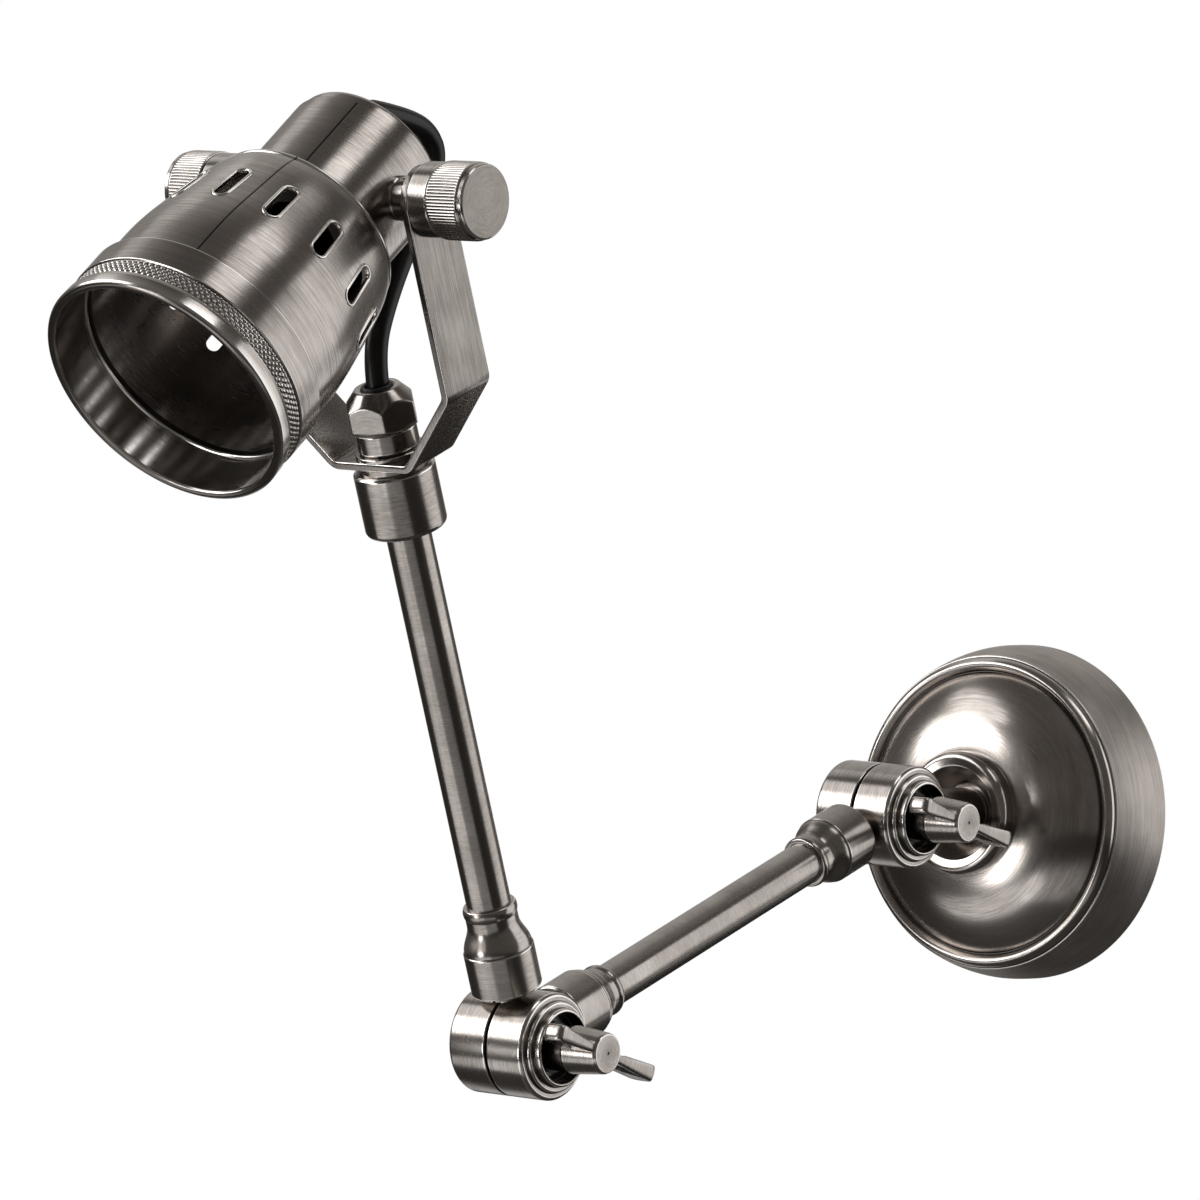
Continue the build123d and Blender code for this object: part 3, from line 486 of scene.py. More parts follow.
def brushed(
    name, origin, axis, straight=False, rough=0.24, contrast=1.0, shade=1.0, seam=None,
    worn_highlight_bands=(), stretch=0.55, matt_below=None,
):
    """Antique brushed nickel with its strokes around the axis, or along it when straight.

    seam is the angle in degrees, about the axis, of a thin lengthwise joint line.
    worn_highlight_bands are (height, half width) of edges, in millimetres along the axis, where the
    patina is rubbed off and a painted highlight lies; turned pieces carry the same in their wear
    and painted light attribute, which is painted shade below 0. shade scales both metal colours, a
    painted lighter or darker tone for the whole part. matt_below is a height in millimetres and the
    least roughness below it.
    """
    if name in finishes:
        return finishes[name]
    colours = bpy.context.scene.lamp_colours
    material, tree, surface = new_material(name)
    place = add_node(tree, "TexCoord")["Object"]
    turn = Vector((0, 0, 1)).rotation_difference(Vector(axis)).to_euler()
    values = {"Location": tuple(np.asarray(origin) * MM), "Rotation": turn, "Vector": place}
    spot = add_node(tree, "Mapping", values, vector_type="TEXTURE")[0]
    z = add_node(tree, "SeparateXYZ", {0: spot})["Z"]
    grain = add_node(tree, "Group", {"Vector": spot}, node_tree=grain_group(straight))
    height = grain["Grain"]
    strokes, clouds = (
        ranged(tree, value, 0.0, 1.0, 0.3, 0.7) for value in (height, grain["Cloud"])
    )
    stroke_part = maths(tree, "MULTIPLY", maths(tree, "SUBTRACT", strokes, 0.5), 0.7 * contrast)
    cloud_part = maths(tree, "ADD", maths(tree, "MULTIPLY", clouds, 0.5), 0.3)
    tone = maths(tree, "ADD", stroke_part, cloud_part)
    dark, light = ([c * shade for c in tint] for tint in (colours.patina, colours.nickel))
    # Above 0 the wear attribute is a worn edge and painted highlight; below 0 it is painted shade
    # in hollows, recesses and end faces.
    wear_and_painted_light = add_node(tree, "Attribute", attribute_name="wear_and_painted_light")["Fac"]
    shade_and_seam_dark = maths(tree, "MAXIMUM", maths(tree, "MULTIPLY", wear_and_painted_light, -1.0), 0.0)
    worn_and_highlight = maths(tree, "MAXIMUM", wear_and_painted_light, 0.0)
    for level, half in worn_highlight_bands:
        away = maths(tree, "ABSOLUTE", maths(tree, "SUBTRACT", z, level * MM))
        band = ranged(tree, away, 1.0, 0.0, 0.6 * half * MM, half * MM)
        worn_and_highlight = maths(tree, "MAXIMUM", worn_and_highlight, band)
    # Mix towards the bright worn colour: rubbed patina and painted highlight.
    rubbed_and_highlight = maths(tree, "MULTIPLY", worn_and_highlight, 0.82)
    colour = mixed(tree, rubbed_and_highlight, mixed(tree, tone, dark, light), colours.worn_and_highlight)
    # Mix towards near-black painted shade.
    colour = mixed(tree, shade_and_seam_dark, colour, colours.shade_and_seam_dark)
    if seam is not None:
        sine, cosine = math.sin(math.radians(seam)), math.cos(math.radians(seam))
        away = maths(tree, "ABSOLUTE", vector_maths(tree, "DOT_PRODUCT", spot, (-sine, cosine, 0)))
        facing = vector_maths(tree, "DOT_PRODUCT", spot, (cosine, sine, 0))
        side = maths(tree, "GREATER_THAN", facing, 0.0)
        line, dip = (
            maths(tree, "MULTIPLY", ranged(tree, away, 1.0, 0.0, near * MM, far * MM), side)
            for near, far in ((0.18, 0.4), (0.0, 1.1))
        )
        colour = mixed(tree, line, colour, colours.shade_and_seam_dark)
        height = maths(tree, "SUBTRACT", height, maths(tree, "MULTIPLY", dip, 3.0))
    gloss = ranged(tree, tone, rough + 0.06, rough - 0.06)
    gloss = maths(tree, "MULTIPLY", gloss, ranged(tree, worn_and_highlight, 1.0, 0.75))
    if matt_below:
        level, least = matt_below
        matt = ranged(tree, z, least, 0.0, (level - 0.6) * MM, (level + 0.6) * MM)
        gloss = maths(tree, "MAXIMUM", gloss, matt)
    fill(tree, surface, {
        "Base Color": colour, "Roughness": gloss, "Metallic": 1.0, "Anisotropic": stretch,
        "Normal": bumped(tree, height, 0.12 * contrast, 0.06 * MM),
        "Tangent": highlight_way(tree, place, origin, axis, straight),
    })
    return material


def plain(name, colour, rough, metallic=0.0, coat=0.0, mottle=0.12, scale=220.0, gleam=0.5):
    """Moulded, glazed or plain metal finish with a fine mottle in colour, gloss and surface."""
    if name in finishes:
        return finishes[name]
    material, tree, surface = new_material(name)
    spots = noise(tree, add_node(tree, "TexCoord")["Object"], scale)
    dark, light = ([min(1, c * (1 + m)) for c in colour] for m in (-mottle, mottle))
    fill(tree, surface, {
        "Base Color": mixed(tree, spots, dark, light),
        "Roughness": ranged(tree, spots, rough - 0.06, rough + 0.06),
        "Metallic": metallic, "Coat Weight": coat, "Specular IOR Level": gleam,
        "Normal": bumped(tree, spots, 0.3, 0.04 * MM),
    })
    return material


# ------------------------------------------------------------------ operators
class LAMP_OT_canopy(bpy.types.Operator):
    """Spun canopy with its bead, the dished hub on it and the stem"""

    bl_idname = "lamp.canopy"
    bl_label = "Canopy and hub"

    def execute(self, context):
        # shade=1.15 gives the spun canopy a painted lighter tone.
        spun = brushed(
            "spun_nickel", wall_origin, OUT_OF_WALL,
            rough=0.22, shade=1.15, stretch=0.3, matt_below=(26.3, 0.46),
        )
        nipple_r, dome_top = 6.4, 41.8
        side = [(62.0, 0.0), (63.5, 0.0), (63.5, 4.0)]
        side += bow((63.4, 5.5), (62.6, 15.2), (59.4, 26.2), 14)
        bead = [(58.7, 26.4)] + bow((58.5, 27.6), (56.6, 29.7), (54.6, 28.6), 10) + [(53.4, 27.4)]
        dome = bow((52.3, 28.6), (39.1, 37.9), (23.9, dome_top), 24)
        inside = [(17.7, dome_top), (17.7, 40.3), (23.5, 40.3)]
        inside += bow((24.5, 40.2), (37.9, 36.1), (51.5, 26.7), 12)
        inside += [(53.6, 26.0), (56.3, 27.3), (57.9, 25.8)]
        inside += bow((58.2, 24.5), (61.0, 15.0), (62.0, 4.0), 8)

        # Painted shade in the groove between the bead and the dome.
        def groove_shade(u, h, r):
            hollow = (np.abs(r - 53.2) < 0.9) & (h > 26.9)
            return np.zeros_like(r), np.where(hollow, PAINTED_RECESS_SHADE, np.nan)

        piece("canopy_spun",
              turned(side + bead + dome + inside, wall_origin, OUT_OF_WALL, 256, ripple=groove_shade),
              "wall", spun, ["canopy_shell"])
        hub_r, hub_low = 23.4, dome_top + 0.02
        hub = [(nipple_r, 36.8), (13.2, 36.8), (17.4, 39.8), (17.4, hub_low), (hub_r, hub_low)]
        hub += [(hub_r, 45.2)]
        hub += bow((23.2, 46.6), (22.2, 48.3), (20.6, 48.8), 8)
        hub += [(17.8, 48.3), (11.2, 39.2), (nipple_r, 39.2)]
        polished = brushed("hub_nickel", wall_origin, OUT_OF_WALL, rough=0.2, contrast=0.6)
        piece("hub_turned", turned(hub, wall_origin, OUT_OF_WALL, 160), "wall", polished,
              ["hub_flange"])
        reach = -float(wall_hinge[1])
        top = reach - BARREL_R - 2.2
        stem_r, shoulder_r, depth = 9.6, 10.6, 9.1
        stem = [(nipple_r, 39.5), (9.0, 39.5), (stem_r, 40.1), (stem_r, top - 6.5),
                (shoulder_r, top - 5.7), (shoulder_r, top - 0.8), (9.8, top), (TUBE_BORE, top),
                (TUBE_BORE, top - depth), (4.5, top - depth), (4.5, 49.6), (nipple_r, 49.6)]
        piece("stem_turned", turned(stem, wall_origin, OUT_OF_WALL, 96), "stem", polished,
              ["wall_stem"])
        return {"FINISHED"}


class LAMP_OT_knuckles(bpy.types.Operator):
    """Two swivel knuckles: barrel halves with their necks, washers and bolts"""

    bl_idname = "lamp.knuckles"
    bl_label = "Knuckles"

    def execute(self, context):
        places = (
            ("wall", wall_hinge, np.array([0.0, 1.0, 0.0]), lower_dir, "stem", "lower_arm"),
            ("elbow", elbow, -lower_dir, upper_dir, "lower_arm", "upper_arm"),
        )
        recess_r, recess_low = 12.6, 15.0
        for place, joint, near_way, far_way, near_body, far_body in places:
            metal = brushed(f"{place}_barrel_nickel", joint, ACROSS, rough=0.24)
            joint_face = [(BOLT_BORE, 0.3), (18.5, 0.3), (BARREL_R, 0.8)]
            near = joint_face + [(BARREL_R, 15.3), (18.2, 16.2), (16.2, 16.2), (16.2, 17.4)]
            near += [(15.7, 17.9), (13.9, 17.9), (13.9, 20.1), (13.4, 20.6), (recess_r, 20.6)]
            near += [(recess_r, recess_low), (BOLT_BORE, recess_low)]

            # Painted shade in the nut's recess and along the edge of the joint face between the
            # halves.
            def recess_shade(u, h, r):
                inside = (r < recess_r + 0.05) & (h < 20.3) & (h > recess_low - 1.0)
                return np.zeros_like(r), np.where(inside | ((r > 15.0) & (h < 0.62)), PAINTED_RECESS_SHADE, np.nan)

            far = joint_face + [(BARREL_R, 15.2)] + arc((BARREL_R - 1.8, 15.2), 1.8, 0, 90, 8)
            far += [(9.4, 17.0), (9.4, 12.4), (BOLT_BORE, 12.4)]
            for half, outline, side, way, body in (
                ("near", near, ACROSS, near_way, near_body),
                ("far", far, -ACROSS, far_way, far_body),
            ):
                barrel = turned(outline, joint, side, 160, ripple=recess_shade)
                neck = turned([(2.6, 18.0), (5.8, 18.0), (5.8, 29.8), (2.6, 29.8)], joint, way, 64)
                piece(f"{place}_barrel_{half}", joined(barrel, neck), body, metal,
                      [f"{place}_knuckle_{half}"])
            head_low, head_high, shank_r, shank_end = -18.02, -12.42, 4.0, 35.2
            bolt = [(0, head_low), (6.4, head_low), (7.6, head_low + 1.2), (7.6, head_high)]
            bolt += [(shank_r, head_high), (shank_r, shank_end), (0, shank_end)]
            piece(f"{place}_bolt_turned", turned(bolt, joint, ACROSS, 64, closed=False), far_body,
                  metal, [f"{place}_pivot_bolt"])
        return {"FINISHED"}


class LAMP_OT_wing_nuts(bpy.types.Operator):
    """Two capped wing nuts with flat flared wings"""

    bl_idname = "lamp.wing_nuts"
    bl_label = "Wing nuts"

    def execute(self, context):
        for place, joint, body, turn in (
            ("wall", wall_hinge, "wall_nut", 14.0), ("elbow", elbow, "elbow_nut", 17.0)
        ):
            metal = brushed(f"{place}_nut_nickel", joint, ACROSS, rough=0.26, contrast=0.8)

            # Painted shade on the nut's foot and in the middle of its cap.
            def cap_shade(u, h, r):
                film = np.where((h > 39.9) & (r < 6.4), PAINTED_FACE_SHADE, np.nan)
                return np.zeros_like(r), np.where(h < 25.2, PAINTED_CORNER_SHADE, film)

            core = [(BOLT_BORE, 16.82), (8.2, 16.82), (8.2, 25.3), (8.6, 25.8), (7.4, 38.9)]
            core += [(6.9, 40.1), (0.5, 40.2), (0.4, 39.8), (0, 39.8)]
            outer = turned(core, joint, ACROSS, 96, radius=0.3, closed=False, ripple=cap_shade)
            a = math.radians(turn)
            out = np.array([0.0, math.cos(a), -math.sin(a)])
            flat = np.cross(out, ACROSS)
            wings = [self.wing(joint, out * sign, flat) for sign in (1, -1)]
            piece(f"{place}_nut_winged", joined(outer, *wings), body, metal,
                  [f"{place}_wing_nut"])
        return {"FINISHED"}

    def wing(self, joint, out, flat):
        """One wing: its outline (r, x), from the hinge, swelled by +-t(r) with a rounded rim.

        Rows are v from -90 to 90 degrees, columns go round the outline, and a point is
        outline - 0.9 (1 - cos v) away + t(r) sin(v) flat; t grows from the root to the tip. Two
        more rows on each side close its flat face, the outer one all at the face's middle.
        """
        outline, _ = softened([(3.5, 24.0), (3.5, 38.9), (28.6, 40.8), (28.6, 32.4)], 2.6, 6)
        middle = np.array([15.0, 35.5])
        away = unit(outline - middle)
        thick = 1.6 + 1.3 * np.clip((outline[:, :1] - 8.0) / 18.0, 0, 1)
        turns = np.linspace(-math.pi / 2, math.pi / 2, 9)
        rings = [outline - away * 0.9 * (1 - math.cos(v)) for v in turns]
        # Wing rims get a worn edge and painted highlight, the flat middle a faint painted shade.
        rubbed_and_highlight = [0.9 - math.cos(v) ** 0.5 for v in turns]
        face = [np.repeat(middle[None], len(outline), 0), outline - away * 1.7]
        rings = face + rings + face[::-1]
        rubbed_and_highlight = [0.0, 0.0, *rubbed_and_highlight, 0.0, 0.0]
        turns = np.concatenate([turns[[0, 0]], turns, turns[[-1, -1]]])
        rows = [
            joint + ring[:, :1] * out + ring[:, 1:] * ACROSS + thick * math.sin(turn) * flat
            for ring, turn in zip(rings, turns)
        ]
        wear_and_painted_light = np.repeat(np.array(rubbed_and_highlight)[:, None], len(outline), 1)
        return grid_faces(np.stack(rows), False, wear_and_painted_light)


class LAMP_OT_arms(bpy.types.Operator):
    """Two arm tubes, their turned collars and the coupling under the yoke"""

    bl_idname = "lamp.arms"
    bl_label = "Arms"

    def execute(self, context):
        lower = brushed("lower_arm_nickel", wall_hinge, lower_dir, rough=0.25, contrast=0.55)
        upper = brushed("upper_arm_nickel", elbow, upper_dir, rough=0.25, contrast=0.55)
        dress(["lower_tube"], lower)
        dress(["upper_tube"], upper)
        for name, joint, way, neck, body, metal in (
            ("lower_collar_wall", wall_hinge, lower_dir, 12.8, "lower_arm", lower),
            ("lower_collar_elbow", elbow, -lower_dir, 12.8, "lower_arm", lower),
            ("upper_collar", elbow, upper_dir, 17.1, "upper_arm", upper),
        ):
            shell = self.collar(joint, way, neck)
            piece(name + "_turned", shell, body, metal, [name])
        tube_r = 7.99
        top = upper_span - COUPLING_GAP
        low = top - 23.4
        step = low + 14
        coupling = [(tube_r, low)] + arc((12.2, low + 2.2), 2.2, -90, 0, 8)
        coupling += [(14.4, top - 0.9), (13.5, top), (GLAND_BORE, top), (GLAND_BORE, step)]
        coupling += [(tube_r, step)]
        metal = brushed("coupling_nickel", elbow, upper_dir)
        piece("coupling_turned", turned(coupling, elbow, upper_dir, 128), "upper_arm", metal,
              ["top_coupling"])
        return {"FINISHED"}

    def collar(self, joint, way, neck):
        """Cylinder, S-curve waist and lip; the waist's radius is a cosine blend of its two ends."""
        low = BARREL_R + 2.2
        edge = low + 15.6
        top = edge + neck
        wide, narrow, collar_r, tube_r = 12.2, 9.3, 12.65, 8.0
        waist = [
            (narrow + (wide - narrow) * 0.5 * (1 + math.cos(math.pi * t)),
             edge + 0.6 + t * 0.56 * neck)
            for t in np.linspace(0, 1, 14)
        ]
        lip_low = edge + 0.76 * neck
        lip = bow((narrow, lip_low), (9.75, 0.5 * (lip_low + top)), (9.25, top - 0.1), 9)
        outline = [(TUBE_BORE, low), (12.0, low), (collar_r, low + 0.7), (collar_r, edge)]
        outline += waist + lip + [(tube_r, top), (tube_r, top - 17.0), (4.8, top - 17.0)]
        outline += [(4.8, low + 9.1), (TUBE_BORE, low + 9.1)]
        return turned(outline, joint, way, 112, radius=0.22)


class LAMP_OT_yoke(bpy.types.Operator):
    """Bent flat yoke with round ends"""

    bl_idname = "lamp.yoke"
    bl_label = "Yoke"

    def execute(self, context):
        colours = context.scene.lamp_colours
        # shade=0.68 gives the yoke a painted darker tone; its bevelled edges get the bright worn
        # colour as worn edge and painted highlight.
        metal = brushed("yoke_nickel", plate, upper_dir, straight=True, rough=0.27, shade=0.68)
        edges = plain("rubbed_highlight_nickel", colours.worn_and_highlight, 0.2, metallic=1.0, scale=900.0, mottle=0.06)
        rounded_copy("yoke_strap", "yoke", metal, edges, 0.35)
        return {"FINISHED"}


class LAMP_OT_gland(bpy.types.Operator):
    """Cable gland: washer, round body, hexagon nut and rubber grommet"""

    bl_idname = "lamp.gland"
    bl_label = "Cable gland"

    def execute(self, context):
        colours = context.scene.lamp_colours
        metal = brushed("gland_nickel", elbow, upper_dir, rough=0.22, contrast=0.7)
        top = upper_span + YOKE_T
        washer = [(r, top + h) for r, h in ((GLAND_BORE, 0.02), (12.2, 0.02), (12.2, 1.52))]
        washer += [(GLAND_BORE, top + 1.52)]
        piece("gland_washer_turned", turned(washer, elbow, upper_dir, 96), "yoke", metal,
              ["gland_washer"])
        low = top + 1.54
        body = [(GLAND_BORE, low), (10.0, low), (10.8, low + 0.8), (10.8, low + 7.6)]
        body += [(4.6, low + 7.6), (4.6, low + 6.4), (GLAND_BORE, low + 6.4)]
        piece("gland_body_turned", turned(body, elbow, upper_dir, 96), "yoke", metal,
              ["gland_body"])
        nut_low = low + 7.62
        piece("gland_nut_hexagon", self.nut(nut_low), "yoke", metal,
              ["gland_nut"])
        rubber = plain("moulded_rubber", colours.rubber, 0.5)
        end = nut_low + 14.9
        bore = 4.05
        grommet = [(bore, end - 12.2), (5.5, end - 12.2), (5.5, end + 0.3)]
        grommet += bow((5.4, end + 0.6), (4.9, end + 0.8), (4.3, end + 0.7), 5)
        grommet += [(bore, end + 0.4)]
        piece("grommet_moulded", turned(grommet, elbow, upper_dir, 64, radius=0), "yoke", rubber,
              ["gland_grommet"])
        return {"FINISHED"}

    def nut(self, low):
        """Hexagon nut whose radius is the smaller of the turned outline and the hexagon.

        At angle u the hexagon's radius is f / cos(((u - u0) mod 60 deg) - 30 deg), where f is
        half the width across its flats.
        """
        bore, corner_r, top_r, cone = 5.55, 13.16, 8.0, 5.9
        high = low + 9.0
        outline = [(bore, low), (10.8, low), (corner_r, low + 1.4)]
        outline += [(corner_r, low + 1.4 + k * (7.6 / 8)) for k in range(1, 8)]
        slope = np.linspace(0, 1, 15)
        outline += [(corner_r + (top_r - corner_r) * t, high + cone * t) for t in slope]
        outline += [(bore, high + cone)]
        start = math.radians(11.0)

        def cut(u, h, r):
            part = np.mod(u - start, math.pi / 3) - math.pi / 6
            flat = 11.4 / np.cos(part)
            smooth = 0.12
            soft = -smooth * np.log(np.exp(-flat / smooth) + np.exp(-r / smooth))
            near_corner = np.abs(part) > math.radians(28)
            # Hexagon corners get a worn edge and painted highlight.
            marks = np.where(near_corner & (r > flat + 0.4) & (h > low + 1.0), 0.7, np.nan)
            return np.where(r > 6, soft - r, 0.0), marks

        return turned(outline, elbow, upper_dir, 240, radius=0, ripple=cut)


class LAMP_OT_shade(bpy.types.Operator):
    """Vented shade, its bright slot rims, the socket cup and the rear cap"""

    bl_idname = "lamp.shade"
    bl_label = "Shade and cup"

    def execute(self, context):
        seam = 67.0
        # A worn, painted highlight band round the shade's rear shoulder.
        edge = ((21.0, 1.7),)
        skin = brushed(
            "shade_nickel", pivot, head_dir, contrast=1.1, seam=seam, worn_highlight_bands=edge
        )
        dress(["shade_body"], skin)
        dress(["socket_cup"], brushed("cup_nickel", pivot, head_dir, seam=seam))
        dress(["rear_cap"], brushed("cap_nickel", pivot, head_dir, rough=0.22))
        self.slot_rims()
        # The shoulder bead's wear is raised by 1: all worn edge and painted highlight.
        bead = arc((34.3, 21.1), 1.0, 0, 340, 14)
        verts, faces, wear_and_painted_light = turned(bead, pivot, head_dir, 192, radius=0)
        piece("shoulder_bead", (verts, faces, wear_and_painted_light + 1), "head", skin)
        return {"FINISHED"}

    def slot_rims(self):
        """Thin rim round each vent with a painted highlight: a small circle carried round the
        slot's outline.

        The slot's outline lies on the shade: a point (s, w) of the slot goes to the radius
        sqrt(r(s)^2 - w^2) at height s, where r(s) is the shade's outer radius there.
        """
        s_at = np.array([20.2, 22.5, 28.0, 38.7, 50.0, 60.0, 71.2])
        r_at = np.array([32.5, 35.6, 37.3, 39.7, 41.6, 43.1, 44.0])
        slot_l, slot_w, slot_s, count, first_turn = 16.6, 5.1, 45.2, 13, -2.0
        straight = 0.5 * (slot_l - slot_w)
        half = 0.5 * slot_w + 0.5
        t = np.linspace(0, 2 * math.pi, 56, endpoint=False)
        s = slot_s + np.sign(np.cos(t)) * straight * (np.abs(np.cos(t)) > 1e-9) + half * np.cos(t)
        w = half * np.sin(t)
        side, up = side_vectors(head_dir)
        section = circle(0.62, 8)
        shells = []
        for k in range(count):
            a = math.radians(first_turn + 360 / count * k)
            radial = math.cos(a) * side + math.sin(a) * up
            tangent = -math.sin(a) * side + math.cos(a) * up
            r = np.interp(s, s_at, r_at)
            depth = np.sqrt(r**2 - w**2)
            path = pivot + s[:, None] * head_dir + w[:, None] * tangent + depth[:, None] * radial
            ahead = unit(np.roll(path, -1, 0) - np.roll(path, 1, 0))
            first = unit(np.cross(ahead, radial))
            frames = (first, np.cross(ahead, first))
            # Every rim point is all worn edge and painted highlight.
            wear_and_painted_light = np.ones((len(path), len(section)))
            shells.append(carried(section, path, frames, True, wear_and_painted_light))
        # shade=1.6 gives the rims a painted lighter tone.
        rim = brushed("rim_highlight_nickel", pivot, head_dir, rough=0.2, contrast=0.3, shade=1.6)
        piece("vent_rims", joined(*shells), "head", rim)


class LAMP_OT_front_ring(bpy.types.Operator):
    """Screwed front ring: smooth collar, diamond knurl, rolled lip and inner bead"""

    bl_idname = "lamp.front_ring"
    bl_label = "Front ring"

    def execute(self, context):
        sizes = context.scene.lamp_sizes
        rim, bore, knurl_r = 107.7, 42.9, 45.3
        back = rim - 24.9
        knurl_low = rim - 12.9
        knurl_high = rim - 7.1
        band = np.linspace(knurl_low + 0.1, knurl_high - 0.1, 23)
        outline = [(44.3, back), (45.6, back), (46.1, back + 0.4), (46.1, knurl_low - 0.5),
                   (knurl_r, knurl_low - 0.1)]
        outline += [(knurl_r, h) for h in band]
        outline += [(knurl_r, knurl_high + 0.1), (45.9, knurl_high + 0.4), (46.3, rim - 5.2)]
        outline += arc((44.6, rim - 2.1), 1.9, 20, 110, 12)
        outline += [(43.3, rim - 0.35), (bore, rim - 1.2), (bore, rim - 17.6)]
        outline += arc((bore, rim - 19.1), 1.0, 90, 270, 20)
        outline += [(bore, back + 8.7), (44.3, back + 8.7)]
        around = round(2 * math.pi * knurl_r / sizes.knurl_pitch)
        rows = 2 * math.pi / 2.3

        def diamonds(u, h, r):
            inside = (h > knurl_low) & (h < knurl_high) & (r > 45) & (r < 45.5)
            fade = np.clip((h - knurl_low) / 0.5, 0, 1) * np.clip((knurl_high - h) / 0.5, 0, 1)
            first = np.abs(np.sin(0.5 * (around * u + rows * h)))
            second = np.abs(np.sin(0.5 * (around * u - rows * h)))
            peak = np.minimum(np.minimum(first, second) * 1.9, 1.0)
            # Painted highlight on the inner bead.
            bead = (r < 42.6) & (h < rim - 18)
            marks = np.where(bead, 1.0, np.nan)
            # Knurl crests get worn edge and painted highlight, the valleys painted shade.
            marks = np.where(inside, np.clip(2.6 * peak - 1.2, PAINTED_RECESS_SHADE, 1.0), marks)
            # Painted shade on the flat of the lip, painted highlight on its inner and outer edges.
            marks = np.where((h > rim - 1.0) & (r > 43.4) & (r < 45.6), -0.45, marks)
            marks = np.where((h > rim - 1.6) & (r < 43.4), 1.0, marks)
            marks = np.where((r > 46.1) & (h > rim - 3.6), 0.9, marks)
            return np.where(inside, sizes.knurl_depth * fade * (peak - 0.5), 0.0), marks

        metal = brushed("ring_nickel", pivot, head_dir, rough=0.23)
        shell = turned(outline, pivot, head_dir, around * 5, radius=0.22, ripple=diamonds)
        piece("front_ring_knurled", shell, "ring", metal, ["front_ring"])
        return {"FINISHED"}


class LAMP_OT_thumb_screws(bpy.types.Operator):
    """Two thumb screws with ridged grips, and the bosses behind the yoke's arms"""

    bl_idname = "lamp.thumb_screws"
    bl_label = "Thumb screws"

    def execute(self, context):
        sizes = context.scene.lamp_sizes
        low, high, end_r = 51.2, 63.5, 12.2
        ridges = round(2 * math.pi * 13.5 / sizes.ridge_pitch)

        def ridge(u, h, r):
            inside = (h > low) & (h < high) & (r > 12)
            fade = np.clip((h - low) / 0.6, 0, 1) * np.clip((high - h) / 0.6, 0, 1)
            crest = np.abs(np.sin(0.5 * ridges * u))
            # Ridge crests get worn edge and painted highlight, the grooves painted shade, and the
            # end face painted shade below.
            marks = np.where(inside, np.clip(1.6 * crest - 0.9, -0.6, 0.6), np.nan)
            marks = np.where((h > 66.0) & (r < end_r), PAINTED_FACE_SHADE, marks)
            return np.where(inside, sizes.ridge_depth * fade * (crest - 0.8), 0), marks

        for side_name, sign, body in (("left", -1, "left_screw"), ("right", 1, "right_screw")):
            axis = ACROSS * sign
            metal = brushed(f"{side_name}_screw_nickel", pivot, axis, rough=0.24, contrast=0.7)
            outline = [(0, 30.0), (3.0, 30.0), (3.0, 41.8), (12.1, 41.8), (12.9, 42.6)]
            outline += [(12.9, 50.2), (12.5, 50.7)]
            outline += [(13.35, h) for h in np.linspace(51.0, 63.6, 16)]
            outline += [(13.0, 64.2), (12.8, 65.8)]
            outline += bow((12.3, 66.3), (7.0, 66.55), (0, 66.65), 8)
            shell = turned(
                outline, pivot, axis, ridges * 6, radius=0.25, closed=False, ripple=ridge
            )
            piece(f"{side_name}_screw_ridged", shell, body, metal,
                  [f"{side_name}_thumb_screw"])
            boss = brushed(f"{side_name}_boss_nickel", pivot, axis, rough=0.2, contrast=0.5)
            dress([f"{side_name}_boss"], boss)
        return {"FINISHED"}


class LAMP_OT_cable(bpy.types.Operator):
    """Supply cable from the gland, round behind the cup and into its cap, with its bushing"""

    bl_idname = "lamp.cable"
    bl_label = "Supply cable"

    def execute(self, context):
        sizes = context.scene.lamp_sizes
        colours = context.scene.lamp_colours
        yoke_out = np.cross(upper_dir, ACROSS)
        yoke_out = yoke_out if yoke_out[1] < 0 else -yoke_out
        head_up = np.cross(head_dir, ACROSS)
        head_up = head_up if head_up[2] > 0 else -head_up
        gland = 248.46 - upper_span - pivot_h  # its top, along the upper arm from the pivot
        steps = [
            (0, gland - 12), (0, gland + 8.6), (-15.0, -41.8), (-44.8, -18.0), (-54.6, -5.5),
            (-52.6, 3.2), (-46.3, 9.6), (-31.5, 18.3),
        ]
        route = [pivot + yoke_out * out + upper_dir * up for out, up in steps]
        inlet = pivot + head_dir * -22.2 + head_up * 14.0
        route += [inlet - head_dir * 7.2, inlet + head_dir * 8.0]
        line = bpy.data.curves.new("cable_line", "CURVE")
        line.dimensions = "3D"
        line.resolution_u = 24
        spline = line.splines.new("NURBS")
        spline.points.add(len(route) - 1)
        for point, place in zip(spline.points, route):
            point.co = (*(place * MM), 1.0)
        spline.order_u = 3
        spline.use_endpoint_u = True
        holder = bpy.data.objects.new("cable_line", line)
        bpy.context.scene.collection.objects.link(holder)
        bare = bpy.data.meshes.new_from_object(holder)
        path = np.array([v.co for v in bare.vertices])
        bpy.data.objects.remove(holder)
        bpy.data.meshes.remove(bare)
        first = np.repeat(ACROSS[None], len(path), 0)
        second = np.cross(unit(np.gradient(path, axis=0)), first)
        shell = carried(circle(0.5 * sizes.cable, 28), path / MM, (first, second))
        sheath = plain("glossy_sheath", colours.sheath, 0.34, scale=500.0, gleam=0.3)
        mesh_piece = piece(
            "cable_sheathed", shell, "yoke", sheath, ["supply_cable"], True
        )
        mesh_piece.parent = None
        mesh_piece.matrix_world = Matrix.Identity(4)
        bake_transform(mesh_piece)
        dress(["cable_bushing"], plain("moulded_rubber", colours.rubber, 0.5))
        return {"FINISHED"}


